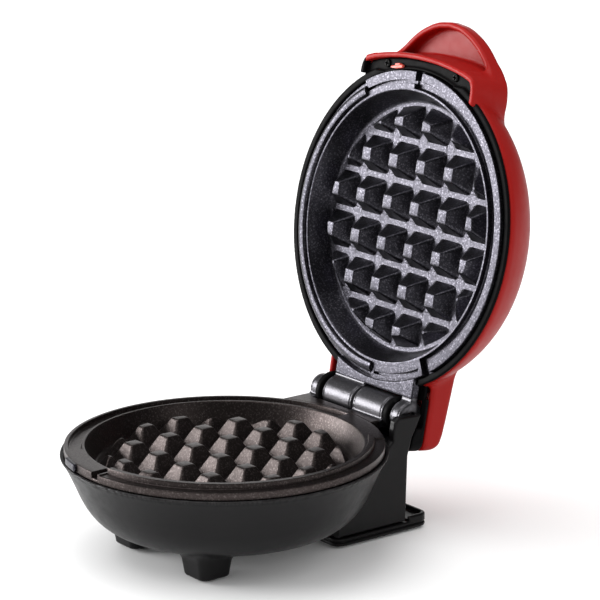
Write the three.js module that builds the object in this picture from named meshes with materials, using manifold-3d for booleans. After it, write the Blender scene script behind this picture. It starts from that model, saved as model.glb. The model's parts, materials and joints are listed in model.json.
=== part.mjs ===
// Compact round waffle maker with a hinged lid, millimetres, +Z up.
// Origin: on the ground, under the middle of the open object's bounding box.
// +X is to the right of a person facing the front, +Y runs back to the hinge.
// The lid is drawn closed and then turned open about the hinge pin.
import * as THREE from 'three';
import { mergeVertices } from 'three/addons/utils/BufferGeometryUtils.js';
import Module from 'manifold-3d';

const wasm = await Module();
wasm.setup();

// ---------------------------------------------------------------- driving dimensions
const Y_SHIFT = -27.138;        // moves the open object's bounding box over the origin
const PART_Z = 40.9;            // parting plane of the two cooking plates
const HINGE_Y = 68.4;           // hinge pin, behind the plate axis
const HINGE_Z = 42.3;           // hinge pin, above the ground
const OPEN_DEG = 100.3;         // lid opening at its stop

const PLATE_R = 58.5;           // outer radius of a cooking plate
const CAVITY_R = 51.0;          // cooking cavity at the parting plane (4 inch plate)
const FLOOR_R = 47.5;           // cooking cavity at its floor
const CAVITY_DEPTH = 8.64;
const PLATE_SKIN = 2.5;         // metal under the cavity floor
const RIM_DEPTH = 3.4;          // thickness of the plate's outer rim
const PITCH = 15.8;             // grid pitch
const POST_BASE = 13.3;
const POST_TOP = 5.0;
const POST_TOP_DEPTH = 1.9;
const POST_RING_R = 45.3;       // the outermost posts are trimmed by this cone
const GROOVE_IN = 52.0, GROOVE_OUT = 55.1, GROOVE_DEPTH = 2.2;
const TONGUE_IN = 52.4, TONGUE_OUT = 54.7, TONGUE_H = 1.5;

const BOWL_RIM_R = 60.0, BOWL_RIM_Z = 37.6;
const LEG_X = 21.6, LEG_Y = -24.2;
const STAND_HALF = 27.8;        // half width of the rear column
const BASE_HALF = 28.6;         // half width of the column's base cover
const PIN_R = 1.7, PIN_HOLE_R = 1.98;
const BARREL_R = 6.5;

const SHELL_W0 = 2.6;           // lid shell's rim above the parting plane
const BOSS_R = 22.0;            // plate screw circle
const ELEMENT_R = 36.0, ELEMENT_TUBE = 2.6;

// ---------------------------------------------------------------- materials
const mat = (color, roughness, metalness, extra = {}) =>
  new THREE.MeshStandardMaterial({ color, roughness, metalness, ...extra });
const redPlastic = mat(0x9c1a16, 0.34, 0.0);
const blackPlastic = mat(0x1d1b1d, 0.42, 0.0);
const coating = mat(0x3b3940, 0.38, 0.35);
const steel = mat(0xb9babd, 0.30, 0.9);
const aluminium = mat(0xb4b6b8, 0.45, 0.9);
const sheath = mat(0x6a655f, 0.5, 0.8);
const rubber = mat(0x151515, 0.85, 0.0);
const ceramic = mat(0xe6e0d2, 0.6, 0.0);
const nylon = mat(0xd9d6cc, 0.6, 0.0);
const wireRed = mat(0xb8a58a, 0.7, 0.0);
const lensRed = mat(0xc8201c, 0.15, 0.0, { transparent: true, opacity: 0.6 });
const coral = mat(0xd65a4c, 0.4, 0.0);

// ---------------------------------------------------------------- solids
function toSolid(geometry) {
  let g = geometry.clone();
  g.deleteAttribute('normal');
  g.deleteAttribute('uv');
  g = mergeVertices(g, 1e-4);
  const p = g.attributes.position.array;
  const src = g.index.array;
  const tri = [];
  let volume = 0;
  for (let i = 0; i < src.length; i += 3) {
    const [a, b, c] = [src[i], src[i + 1], src[i + 2]];
    if (a === b || b === c || c === a) continue;
    tri.push(a, b, c);
    const [ax, ay, az] = [p[3 * a], p[3 * a + 1], p[3 * a + 2]];
    const [bx, by, bz] = [p[3 * b], p[3 * b + 1], p[3 * b + 2]];
    const [cx, cy, cz] = [p[3 * c], p[3 * c + 1], p[3 * c + 2]];
    volume += ax * (by * cz - bz * cy) + ay * (bz * cx - bx * cz) + az * (bx * cy - by * cx);
  }
  if (volume < 0) for (let i = 0; i < tri.length; i += 3) [tri[i + 1], tri[i + 2]] = [tri[i + 2], tri[i + 1]];
  return new wasm.Manifold(new wasm.Mesh({
    numProp: 3, vertProperties: new Float32Array(p), triVerts: new Uint32Array(tri),
  }));
}

function toGeometry(solid) {
  const m = solid.getMesh();
  const pos = new Float32Array(m.numVert * 3);
  for (let i = 0; i < m.numVert; i++)
    for (let k = 0; k < 3; k++) pos[3 * i + k] = m.vertProperties[m.numProp * i + k];
  const g = new THREE.BufferGeometry();
  g.setAttribute('position', new THREE.BufferAttribute(pos, 3));
  g.setIndex(Array.from(m.triVerts));
  g.computeVertexNormals();
  return g;
}

const union = (...s) => s.reduce((a, b) => a.add(b));
const cut = (a, ...s) => s.reduce((x, b) => x.subtract(b), a);

function box(x0, x1, y0, y1, z0, z1) {
  const g = new THREE.BoxGeometry(x1 - x0, y1 - y0, z1 - z0);
  g.translate((x0 + x1) / 2, (y0 + y1) / 2, (z0 + z1) / 2);
  return toSolid(g);
}
// cylinder along Z, from z0 to z1
function post(x, y, r, z0, z1, seg = 20, r1 = r) {
  const g = new THREE.CylinderGeometry(r1, r, z1 - z0, seg);
  g.rotateX(Math.PI / 2);
  g.translate(x, y, (z0 + z1) / 2);
  return toSolid(g);
}
// cylinder along X
function rod(y, z, r, x0, x1, seg = 24) {
  const g = new THREE.CylinderGeometry(r, r, x1 - x0, seg);
  g.rotateZ(Math.PI / 2);
  g.translate((x0 + x1) / 2, y, z);
  return toSolid(g);
}
// cylinder along Y
function bar(x, z, r, y0, y1, seg = 20) {
  const g = new THREE.CylinderGeometry(r, r, y1 - y0, seg);
  g.translate(x, (y0 + y1) / 2, z);
  return toSolid(g);
}
// closed (radius, height) profile turned about Z
function turned(profile, seg = 40) {
  const pts = profile.map(([r, z]) => new THREE.Vector2(r, z));
  const closed = profile[0][0] > 1e-6 || profile[profile.length - 1][0] > 1e-6;
  if (closed) pts.push(pts[0].clone());
  const g = new THREE.LatheGeometry(pts, seg);
  g.rotateX(Math.PI / 2);
  return toSolid(g);
}
// outline in X, Y raised from z0 to z1
function raised(points, z0, z1) {
  const g = new THREE.ExtrudeGeometry(new THREE.Shape(points.map(([x, y]) => new THREE.Vector2(x, y))),
    { depth: z1 - z0, bevelEnabled: false, curveSegments: 8 });
  g.translate(0, 0, z0);
  return toSolid(g);
}
// outline in Y, Z run from x0 to x1
function sideways(points, x0, x1) {
  const g = new THREE.ExtrudeGeometry(new THREE.Shape(points.map(([y, z]) => new THREE.Vector2(y, z))),
    { depth: x1 - x0, bevelEnabled: false });
  g.applyMatrix4(new THREE.Matrix4().set(0, 0, 1, x0, 1, 0, 0, 0, 0, 1, 0, 0, 0, 0, 0, 1));
  return toSolid(g);
}
// rounded rectangle outline
function roundRect(x0, x1, y0, y1, r, n = 4) {
  const out = [];
  const corners = [[x1 - r, y0 + r, -90], [x1 - r, y1 - r, 0], [x0 + r, y1 - r, 90], [x0 + r, y0 + r, 180]];
  for (const [cx, cy, a0] of corners)
    for (let i = 0; i <= n; i++) {
      const a = THREE.MathUtils.degToRad(a0 + 90 * i / n);
      out.push([cx + r * Math.cos(a), cy + r * Math.sin(a)]);
    }
  return out;
}
// block with a rounded-square section that grows from its foot to its top
function taperedBlock(cx, cy, halfBottom, halfTop, r, z0, z1) {
  const g = new THREE.ExtrudeGeometry(
    new THREE.Shape(roundRect(-halfBottom, halfBottom, -halfBottom, halfBottom, r).map(([x, y]) => new THREE.Vector2(x, y))),
    { depth: z1 - z0, bevelEnabled: false });
  const p = g.attributes.position;
  for (let i = 0; i < p.count; i++) {
    const t = p.getZ(i) / (z1 - z0);
    const k = 1 + t * (halfTop / halfBottom - 1);
    p.setXYZ(i, cx + p.getX(i) * k, cy + p.getY(i) * k, z0 + p.getZ(i));
  }
  return toSolid(g);
}
// ring sector; angles in degrees from the front (-Y) towards +X
function sector(a0, a1, r0, r1, z0, z1) {
  const n = Math.max(2, Math.ceil((a1 - a0) / 9));
  const at = (r, a) => [r * Math.sin(THREE.MathUtils.degToRad(a)), -r * Math.cos(THREE.MathUtils.degToRad(a))];
  const pts = [];
  for (let i = 0; i <= n; i++) pts.push(at(r1, a0 + (a1 - a0) * i / n));
  for (let i = n; i >= 0; i--) pts.push(at(r0, a0 + (a1 - a0) * i / n));
  return raised(pts, z0, z1);
}
// round wire or tube along a smooth path
function wire(points, radius, steps, sides = 8) {
  const path = new THREE.CatmullRomCurve3(points.map((p) => new THREE.Vector3(...p)), false, 'centripetal');
  const circle = [];
  for (let i = 0; i < sides; i++)
    circle.push(new THREE.Vector2(radius * Math.cos(2 * Math.PI * i / sides), radius * Math.sin(2 * Math.PI * i / sides)));
  return toSolid(new THREE.ExtrudeGeometry(new THREE.Shape(circle), { steps, bevelEnabled: false, extrudePath: path }));
}
// screw, axis along Z; up = 1 points the shank to +Z
function screw(x, y, headZ, up, headR, headH, shankR, length, seg = 12) {
  const z = (a) => headZ + up * a;
  const span = (r, a, b, s) => post(x, y, r, Math.min(z(a), z(b)), Math.max(z(a), z(b)), s);
  return union(span(headR, 0, headH, seg), span(shankR, headH - 0.3, headH + length, 8));
}
const up = (w) => PART_Z + w;    // height above the ground of a lid depth w, lid closed

// ---------------------------------------------------------------- cooking plate
// Drawn with w = depth into the plate from the parting plane; dir = +1 for the
// upper plate (w runs up) and -1 for the lower one (w runs down).
function cookingPlate(dir) {
  const Z = (w) => PART_Z + dir * w;
  const span = (fn, w0, w1) => fn(Math.min(Z(w0), Z(w1)), Math.max(Z(w0), Z(w1)));
  const bottom = CAVITY_DEPTH + PLATE_SKIN;
  let p = turned([[0, Z(bottom)], [49.5, Z(bottom)], [54.0, Z(RIM_DEPTH)], [PLATE_R, Z(RIM_DEPTH)],
    [PLATE_R, Z(0.1)], [CAVITY_R, Z(0.1)], [FLOOR_R, Z(CAVITY_DEPTH)], [0, Z(CAVITY_DEPTH)]], 40);

  // grid posts: truncated pyramids, trimmed by a cone at the edge
  const h = CAVITY_DEPTH - POST_TOP_DEPTH;
  const sunk = 0.4;
  const slope = (POST_BASE - POST_TOP) / 2 / h;
  const section = (half) => [[-half, -half], [half, -half], [half, half], [-half, half]];
  const cone = (() => {
    const r0 = POST_RING_R + slope * sunk, r1 = POST_RING_R - slope * (h + 0.2);
    return turned([[0, Z(CAVITY_DEPTH + sunk)], [r0, Z(CAVITY_DEPTH + sunk)], [r1, Z(POST_TOP_DEPTH - 0.2)], [0, Z(POST_TOP_DEPTH - 0.2)]], 32);
  })();
  let posts = null;
  for (let i = 0; i < 6; i++) for (let j = 0; j < 6; j++) {
    if ((i === 0 || i === 5) && (j === 0 || j === 5)) continue;
    const x = (i - 2.5) * PITCH, y = (j - 2.5) * PITCH;
    const half = POST_BASE / 2 + slope * sunk;
    const pts = section(half).map(([a, b]) => new THREE.Vector2(a, b));
    const g = new THREE.ExtrudeGeometry(new THREE.Shape(pts), { depth: 1, bevelEnabled: false });
    const q = g.attributes.position;
    const top = section(POST_TOP / 2), low = section(half);
    for (let k = 0; k < q.count; k++) {
      const vx = q.getX(k), vy = q.getY(k);
      let best = 0, bd = 1e9;
      low.forEach(([a, b], n) => { const d = (a - vx) ** 2 + (b - vy) ** 2; if (d < bd) { bd = d; best = n; } });
      const isTop = q.getZ(k) > 0.5;
      const [sx, sy] = isTop ? top[best] : low[best];
      q.setXYZ(k, x + sx, y + sy, isTop ? Z(POST_TOP_DEPTH) : Z(CAVITY_DEPTH + sunk));
    }
    const s = toSolid(g);
    posts = posts ? posts.add(s) : s;
  }
  p = p.add(posts.intersect(cone));

  // screw bosses on the hidden face, and their blind holes
  for (const a of [0, 120, 240]) {
    const x = BOSS_R * Math.sin(THREE.MathUtils.degToRad(a)), y = -BOSS_R * Math.cos(THREE.MathUtils.degToRad(a));
    p = p.add(span((z0, z1) => post(x, y, 3.9, z0, z1, 16), bottom - 0.3, bottom + 6.0));
    p = p.subtract(span((z0, z1) => post(x, y, 1.75, z0, z1, 12), bottom + 0.8, bottom + 6.6));
  }
  return { p, Z, span };
}

// knuckle with its web to the plate flange
function knuckle(x0, x1, r, webLow, webHigh) {
  return union(rod(HINGE_Y, HINGE_Z, r, x0, x1, 28), box(x0, x1, 60.2, HINGE_Y - 2.4, webLow, webHigh));
}
const pinHole = () => rod(HINGE_Y, HINGE_Z, PIN_HOLE_R, -29.6, 40, 16);
// flange behind the plate's rim
const flange = (x0, x1, z0, z1) => cut(box(x0, x1, 44, 61.3, z0, z1), post(0, 0, 56.6, z0 - 1, z1 + 1, 40));

function makeLowerPlate() {
  let { p, span } = cookingPlate(-1);
  p = p.subtract(span((a, b) => sector(179.0, 331.0, GROOVE_IN, GROOVE_OUT, a, b), -0.5, GROOVE_DEPTH));
  p = p.subtract(span((a, b) => sector(0.0, 3.5, GROOVE_IN, PLATE_R + 1, a, b), -0.5, 1.2));
  p = p.add(span((a, b) => sector(4.6, 145.8, TONGUE_IN, TONGUE_OUT, a, b), -TONGUE_H, 0.6));
  p = p.add(span((a, b) => sector(-20.0, -10.5, 56.6, 59.7, a, b), 0.25, 3.1));
  let f = flange(-30.2, 15.0, PART_Z - RIM_DEPTH, PART_Z - 0.1);
  f = f.subtract(box(-24.6, -21.3, 60.3, 62, 30, 45));
  p = p.add(f);
  p = union(p, knuckle(-2.9, 15.0, BARREL_R, PART_Z - RIM_DEPTH, PART_Z - 0.1),
    knuckle(-30.2, -24.7, 5.3, PART_Z - RIM_DEPTH, PART_Z - 0.1));
  return p.subtract(pinHole());
}
function makeUpperPlate() {
  let { p, span } = cookingPlate(1);
  p = p.subtract(span((a, b) => sector(3.0, 147.5, GROOVE_IN, GROOVE_OUT, a, b), -0.5, GROOVE_DEPTH));
  p = p.subtract(span((a, b) => sector(0.0, 3.6, GROOVE_IN, PLATE_R + 1, a, b), -0.5, 2.3));
  p = p.subtract(span((a, b) => sector(147.0, 151.0, GROOVE_IN, PLATE_R + 1, a, b), -0.5, 2.3));
  p = p.subtract(span((a, b) => sector(152.5, 179.0, 55.7, 56.4, a, b), -0.5, 1.4));
  p = p.subtract(span((a, b) => sector(331.5, 359.0, 54.4, 55.1, a, b), -0.5, 1.4));
  p = p.add(span((a, b) => sector(180.5, 329.5, TONGUE_IN, TONGUE_OUT, a, b), -TONGUE_H, 0.6));
  p = p.add(flange(-21.3, 24.3, PART_Z + 0.1, PART_Z + RIM_DEPTH));
  p = union(p, knuckle(-21.3, -3.4, BARREL_R, PART_Z + 0.25, PART_Z + RIM_DEPTH),
    knuckle(18.4, 24.3, 6.0, PART_Z + 0.25, PART_Z + RIM_DEPTH));
  return p.subtract(pinHole());
}

// ---------------------------------------------------------------- lower half
const bowlOuter = [[0, 9.6], [35.5, 9.6], [42.0, 11.2], [47.0, 14.2], [50.9, 18.8], [53.6, 23.8], [56.4, 30.2],
  [BOWL_RIM_R, BOWL_RIM_Z]];
const bowlInner = [[59.2, BOWL_RIM_Z], [57.4, 35.6], [54.0, 29.0], [51.3, 23.4], [48.4, 18.9], [44.6, 15.4], [40.4, 13.0],
  [34, 11.8], [0, 11.8]];
const grown = (profile, d, top) => {
  const out = profile.map(([r, z]) => [r > 0 ? r + d : 0, z < 12 ? z - d : z]);
  out.push([BOWL_RIM_R + d, top], [0, top]);
  return out;
};
const bossXY = [0, 120, 240].map((a) => [BOSS_R * Math.sin(THREE.MathUtils.degToRad(a)), -BOSS_R * Math.cos(THREE.MathUtils.degToRad(a))]);
const HARNESS_Z = 18.2;
const STAND_SCREW_X = 14.5, STAND_SCREW_Z = 24.5;

function makeLowerHousing() {
  let s = turned([...bowlOuter, [0, BOWL_RIM_Z]], 40);
  for (const sx of [-1, 1]) s = s.add(taperedBlock(sx * LEG_X, LEG_Y, 6.3, 8.6, 2.4, 0.9, 17));
  s = s.subtract(turned([...bowlInner].reverse().concat([[59.2, 60], [0, 60]]), 40));
  for (const [x, y] of bossXY) s = s.add(post(x, y, 4.3, 11.2, 23.4, 16));
  for (const [x, y] of bossXY) s = s.subtract(post(x, y, 1.8, 8, 24, 12)).subtract(post(x, y, 3.4, 8, 13.2, 16));
  for (const sx of [-1, 1]) {
    s = s.subtract(post(sx * LEG_X, LEG_Y, 4.9, 0, 2.1, 20));
    s = s.subtract(bar(sx * STAND_SCREW_X, STAND_SCREW_Z, 1.75, 40, 60, 12));
  }
  s = s.subtract(bar(0, HARNESS_Z, 6.0, 40, 60, 16));
  return s.subtract(box(-30.6, 15.4, 44, 64, 36.9, 40));
}

function makeRearStand() {
  const profile = [[31, 4.1], [63.3, 4.1], [64.1, 29.5], [66.0, 36.0], [70.6, 44.4], [59.4, 44.9], [57.9, 43.6],
    [57.2, 40.5], [57.0, 36.5], [53.5, 33.5], [31, 22]];
  let s = sideways(profile, -STAND_HALF, STAND_HALF);
  s = s.subtract(turned(grown(bowlOuter, 0.4, 60), 40));
  s = s.subtract(box(-24.6, 24.6, 50, 80, 34.1, 50));
  s = s.subtract(box(-30, -24.0, 50, 80, 36.3, 50));
  let room = box(-25.3, 25.3, 33.4, 61.4, 0, 31.2);
  room = room.subtract(turned(grown(bowlOuter, 2.9, 60), 40));
  s = s.subtract(room);
  for (const sx of [-1, 1]) {
    s = s.add(box(sx * 25.8 - 3.4 * (sx > 0 ? 1 : 0) - 0, sx * 25.8 + 3.4 * (sx < 0 ? 1 : 0), 55, 60.6, 4.1, 15));
    s = s.add(box(sx * 25.8 - 5.6 * (sx > 0 ? 1 : 0), sx * 25.8 + 5.6 * (sx < 0 ? 1 : 0), 34.4, 40.4, 4.1, 8.3));
    s = s.add(box(sx * 22.4 - 2.6, sx * 22.4 + 2.6, 55, 60.6, 4.1, 15));
    s = s.subtract(post(sx * 22.4, 57.8, 1.6, 3, 13, 12));
    s = s.subtract(post(sx * 22.4, 37.4, 1.6, 3, 7.4, 12));
    s = s.subtract(bar(sx * STAND_SCREW_X, STAND_SCREW_Z, 1.75, 40, 60, 12));
  }
  s = s.subtract(bar(0, HARNESS_Z, 6.0, 40, 58, 16));
  s = s.subtract(bar(0, 14, 4.7, 58, 70, 20));
  return s.subtract(rod(HINGE_Y, HINGE_Z, PIN_HOLE_R, 20, 26.9, 16));
}

function makeBaseCover() {
  let s = raised(roundRect(-BASE_HALF, BASE_HALF, 30, 74, 4), 0.7, 5.8);
  s = s.subtract(box(-40, 40, 20, 64.4, 3.8, 9));
  s = s.subtract(raised(roundRect(-BASE_HALF + 1.4, BASE_HALF - 1.4, 55, 72.6, 2.8), 4.4, 9));
  for (const sx of [-1, 1]) {
    for (const y of [37.4, 57.8]) {
      s = s.subtract(post(sx * 22.4, y, 1.7, 0, 6, 12)).subtract(post(sx * 22.4, y, 3.2, 0, 2.3, 16));
    }
    s = s.subtract(post(sx * 21, 67.6, 4.4, 0, 2.0, 20));
  }
  return s;
}

function elementPath(z, zEnd) {
  const pts = [];
  pts.push([-9.6, 45.2, zEnd], [-9.4, 41.5, zEnd * 0.5 + z * 0.5]);
  for (let a = -166; a <= 166.01; a += 16.6)
    pts.push([ELEMENT_R * Math.sin(THREE.MathUtils.degToRad(a)), -ELEMENT_R * Math.cos(THREE.MathUtils.degToRad(a)), z]);
  pts.push([9.4, 41.5, zEnd * 0.5 + z * 0.5], [9.6, 45.2, zEnd]);
  return pts;
}

const nodes = [];
const add = (group, name, solid, material) => {
  const mesh = new THREE.Mesh(toGeometry(solid), material);
  mesh.name = name;
  group.add(mesh);
  nodes.push(mesh);
  return mesh;
};

const base = new THREE.Group();
base.position.y = Y_SHIFT;

add(base, 'lower_housing', makeLowerHousing(), blackPlastic);
add(base, 'rear_stand', makeRearStand(), blackPlastic);
add(base, 'stand_base_cover', makeBaseCover(), blackPlastic);
add(base, 'lower_plate', makeLowerPlate(), coating);

const lowFloor = PART_Z - CAVITY_DEPTH - PLATE_SKIN;
add(base, 'lower_heating_element', wire(elementPath(lowFloor - 0.4 - ELEMENT_TUBE, 25.2), ELEMENT_TUBE, 38, 6), sheath);
{
  let s = turned([[0, 20.4], [46.6, 20.4], [48.8, 22.0], [48.2, 22.7], [46.2, 21.2], [0, 21.2]], 36);
  for (const [x, y] of bossXY) s = s.subtract(post(x, y, 4.9, 18, 24, 16));
  s = s.subtract(box(-18.6, 18.6, 43.4, 52, 18, 24));
  add(base, 'lower_heat_shield', s, aluminium);
}
{
  const z1 = lowFloor - 0.35;
  let s = union(post(0, 0, 7.4, z1 - 6.6, z1 - 0.8, 24), post(0, 0, 9.0, z1 - 1.1, z1, 24),
    box(-11.5, -4, -2.9, 2.9, z1 - 4.4, z1 - 3.6), box(4, 11.5, -2.9, 2.9, z1 - 4.4, z1 - 3.6));
  s = s.subtract(post(-9.6, 0, 0.9, 10, 40, 10)).subtract(post(9.6, 0, 0.9, 10, 40, 10));
  add(base, 'thermostat', s, ceramic);
}
add(base, 'thermal_fuse', union(rod(17, 26.8, 1.9, -8, 8, 14), rod(17, 26.8, 0.7, -12, 12, 8)), nylon);
{
  let s = box(-9, 9, 50.2, 58.6, 5.6, 13.2);
  for (const x of [-4.4, 4.4]) s = s.subtract(post(x, 54.4, 1.7, 8.4, 14, 12)).subtract(bar(x, 7.6, 1.5, 49, 60, 12));
  add(base, 'terminal_block', s, nylon);
}
for (const [name, sx] of [['lower_lead_left', -1], ['lower_lead_right', 1]])
  add(base, name, wire([[sx * 9.6, 46.5, 25.1], [sx * 8.6, 46.3, 21.6], [sx * 5.0, 45.9, 18.6], [sx * 4.2, 50.4, 18.0],
    [sx * 4.4, 54.0, 16.6], [sx * 4.4, 54.4, 14.0], [sx * 4.4, 54.4, 10.4]], 1.05, 18, 6), wireRed);
{
  let s = turned([[2.6, -1.6], [5.4, -1.6], [5.4, 0.0], [4.3, 0.5], [4.3, 3.3], [6.4, 3.3], [6.4, 4.7], [5.2, 5.4], [2.6, 5.4]], 18);
  const g = toGeometry(s);
  g.rotateX(-Math.PI / 2);
  g.translate(0, 61.0, 14);
  add(base, 'cord_gland', toSolid(g), rubber);
}
for (const [name, sx] of [['front_foot_pad_left', -1], ['front_foot_pad_right', 1]])
  add(base, name, post(sx * LEG_X, LEG_Y, 4.3, 0, 1.7, 20, 4.6), rubber);
for (const [name, sx] of [['rear_foot_pad_left', -1], ['rear_foot_pad_right', 1]])
  add(base, name, post(sx * 21, 67.6, 3.9, 0, 1.6, 20, 4.1), rubber);
bossXY.forEach(([x, y], i) =>
  add(base, `lower_plate_screw_${['front', 'right', 'left'][i]}`, screw(x, y, 11.4, 1, 3.0, 1.5, 1.4, 13.6), steel));
{
  let k = 1;
  for (const y of [37.4, 57.8]) for (const sx of [-1, 1])
    add(base, `base_cover_screw_${k++}`, screw(sx * 22.4, y, 0.9, 1, 2.8, 1.1, 1.25, y < 50 ? 5.0 : 9.6), steel);
}
for (const [name, sx] of [['stand_screw_left', -1], ['stand_screw_right', 1]]) {
  const g = toGeometry(screw(0, 0, 0, 1, 2.7, 1.3, 1.3, 10.8));
  g.rotateX(-Math.PI / 2);
  g.translate(sx * STAND_SCREW_X, 45.6, STAND_SCREW_Z);
  add(base, name, toSolid(g), steel);
}
add(base, 'hinge_pin', rod(HINGE_Y, HINGE_Z, PIN_R, -29.2, 26.5, 16), steel);

// ---------------------------------------------------------------- lid, drawn closed
const hinge = new THREE.Group();
hinge.position.set(0, HINGE_Y + Y_SHIFT, HINGE_Z);
hinge.rotation.x = -THREE.MathUtils.degToRad(OPEN_DEG);
const lid = new THREE.Group();
lid.position.set(0, -HINGE_Y, -HINGE_Z);
hinge.add(lid);

// front lip, seen from above (front is -Y)
const lipHalf = [[0, 64.9], [10, 64.5], [20, 63.2], [27.5, 61.5], [31.0, 60.0], [32.4, 57.6], [33.2, 53.6], [36.5, 50.6]];
const mirrorOutline = (half, back) => {
  const right = half.map(([x, v]) => [x, -v]);
  const left = half.slice(1).reverse().map(([x, v]) => [-x, -v]);
  return [[-half[half.length - 1][0], -back], ...left, ...right, [half[half.length - 1][0], -back]];
};
const inset = (half, d) => half.map(([x, v], i) => {
  const a = half[Math.max(0, i - 1)], b = half[Math.min(half.length - 1, i + 1)];
  let tx = b[0] - a[0], tv = b[1] - a[1];
  const n = Math.hypot(tx, tv) || 1; tx /= n; tv /= n;
  return [i === 0 ? 0 : Math.max(0.5, x + tv * d), v - Math.abs(tx) * d];
});
// handle tab
const tabHalf = [[0, 77.9], [7, 76.7], [13.5, 73.8], [18.2, 71.0], [22.1, 67.8], [26.0, 63.8], [28.6, 60.0], [31.0, 53.5], [32.4, 47.5]];
const blockProfile = (d) => [[48, 6.4 - (d > 0 ? 3 : 0)], [81.4 - d, 6.4 - (d > 0 ? 3 : 0)], [81.4 - d, 9.4], [80.7 - d, 12.2 - 0.5 * d], [78.8 - d, 14.3 - d],
  [75.5, 15.5 - d], [70, 16.3 - d], [60, 17.2 - d], [48, 18.2 - d]];

function makeLidShell() {
  const dome = [[0, 28.4], [20, 28.3], [33, 27.8], [40.2, 26.7], [45.5, 25.0], [49.6, 22.8], [53.8, 19.3], [56.3, 16.3],
    [58.2, 13.2], [60.1, 9.2], [61.4, 4.6], [61.5, SHELL_W0], [0, SHELL_W0]];
  const inner = [[0, 26.4], [20, 26.3], [32.6, 25.8], [39.4, 24.8], [44.4, 23.2], [48.2, 21.2], [52.2, 17.9], [54.5, 15.2],
    [56.4, 12.2], [58.5, 8.4], [60.1, 5.6], [60.15, SHELL_W0], [60.1, -2], [0, -2]];
  const lift = (pr) => pr.map(([r, w]) => [r, up(w)]);
  let s = turned(lift(dome), 40);
  s = s.add(raised(mirrorOutline(lipHalf, 30), up(0), up(17.2)));
  s = s.add(raised(mirrorOutline(tabHalf, 30), up(12.9), up(17.4)));
  s = s.add(raised(mirrorOutline(inset(tabHalf, 1.8), 30), up(17.3), up(20.0)));
  const plan = raised(roundRect(-27.9, 27.9, 20, 81.4, 4.5), up(0), up(30));
  s = s.add(sideways(blockProfile(0).map(([y, w]) => [y, up(w)]), -27.9, 27.9).intersect(plan));
  // hollow
  s = s.subtract(turned(lift(inner), 40));
  s = s.subtract(raised(mirrorOutline(inset(lipHalf, 2.1), 30), up(-2), up(14.8)));
  const planIn = raised(roundRect(-26.1, 26.1, 20, 79.6, 3.0), up(-4), up(30));
  s = s.subtract(sideways(blockProfile(1.8).map(([y, w]) => [y, up(w)]), -26.1, 26.1).intersect(planIn));
  // finger scoop under the tab
  let scoop = raised(mirrorOutline(inset(tabHalf, 2.2), 30), up(12), up(17.5));
  scoop = scoop.subtract(raised(mirrorOutline(lipHalf, 20), up(0), up(30)));
  s = s.subtract(scoop);
  // screw bosses
  for (const sx of [-1, 1]) {
    s = s.add(post(sx * 19.5, -59.0, 2.5, up(5.5), up(16), 14));
    s = s.subtract(post(sx * 19.5, -59.0, 1.25, up(5), up(12), 10));
    s = s.add(post(sx * 15, 77.9, 2.4, up(6.5), up(11.6), 14));
    s = s.subtract(post(sx * 15, 77.9, 1.35, up(5), up(10.4), 10));
  }
  // room for the plate's hinge flange and for the lower plate's end knuckle
  s = s.subtract(box(-21.7, 24.7, 50, 62.5, up(-1), up(3.8)));
  s = s.subtract(rod(HINGE_Y, HINGE_Z, 5.75, -32, -24.6, 28));
  return s.subtract(post(0, -30, 3.2, up(20), up(35), 14));
}

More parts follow.
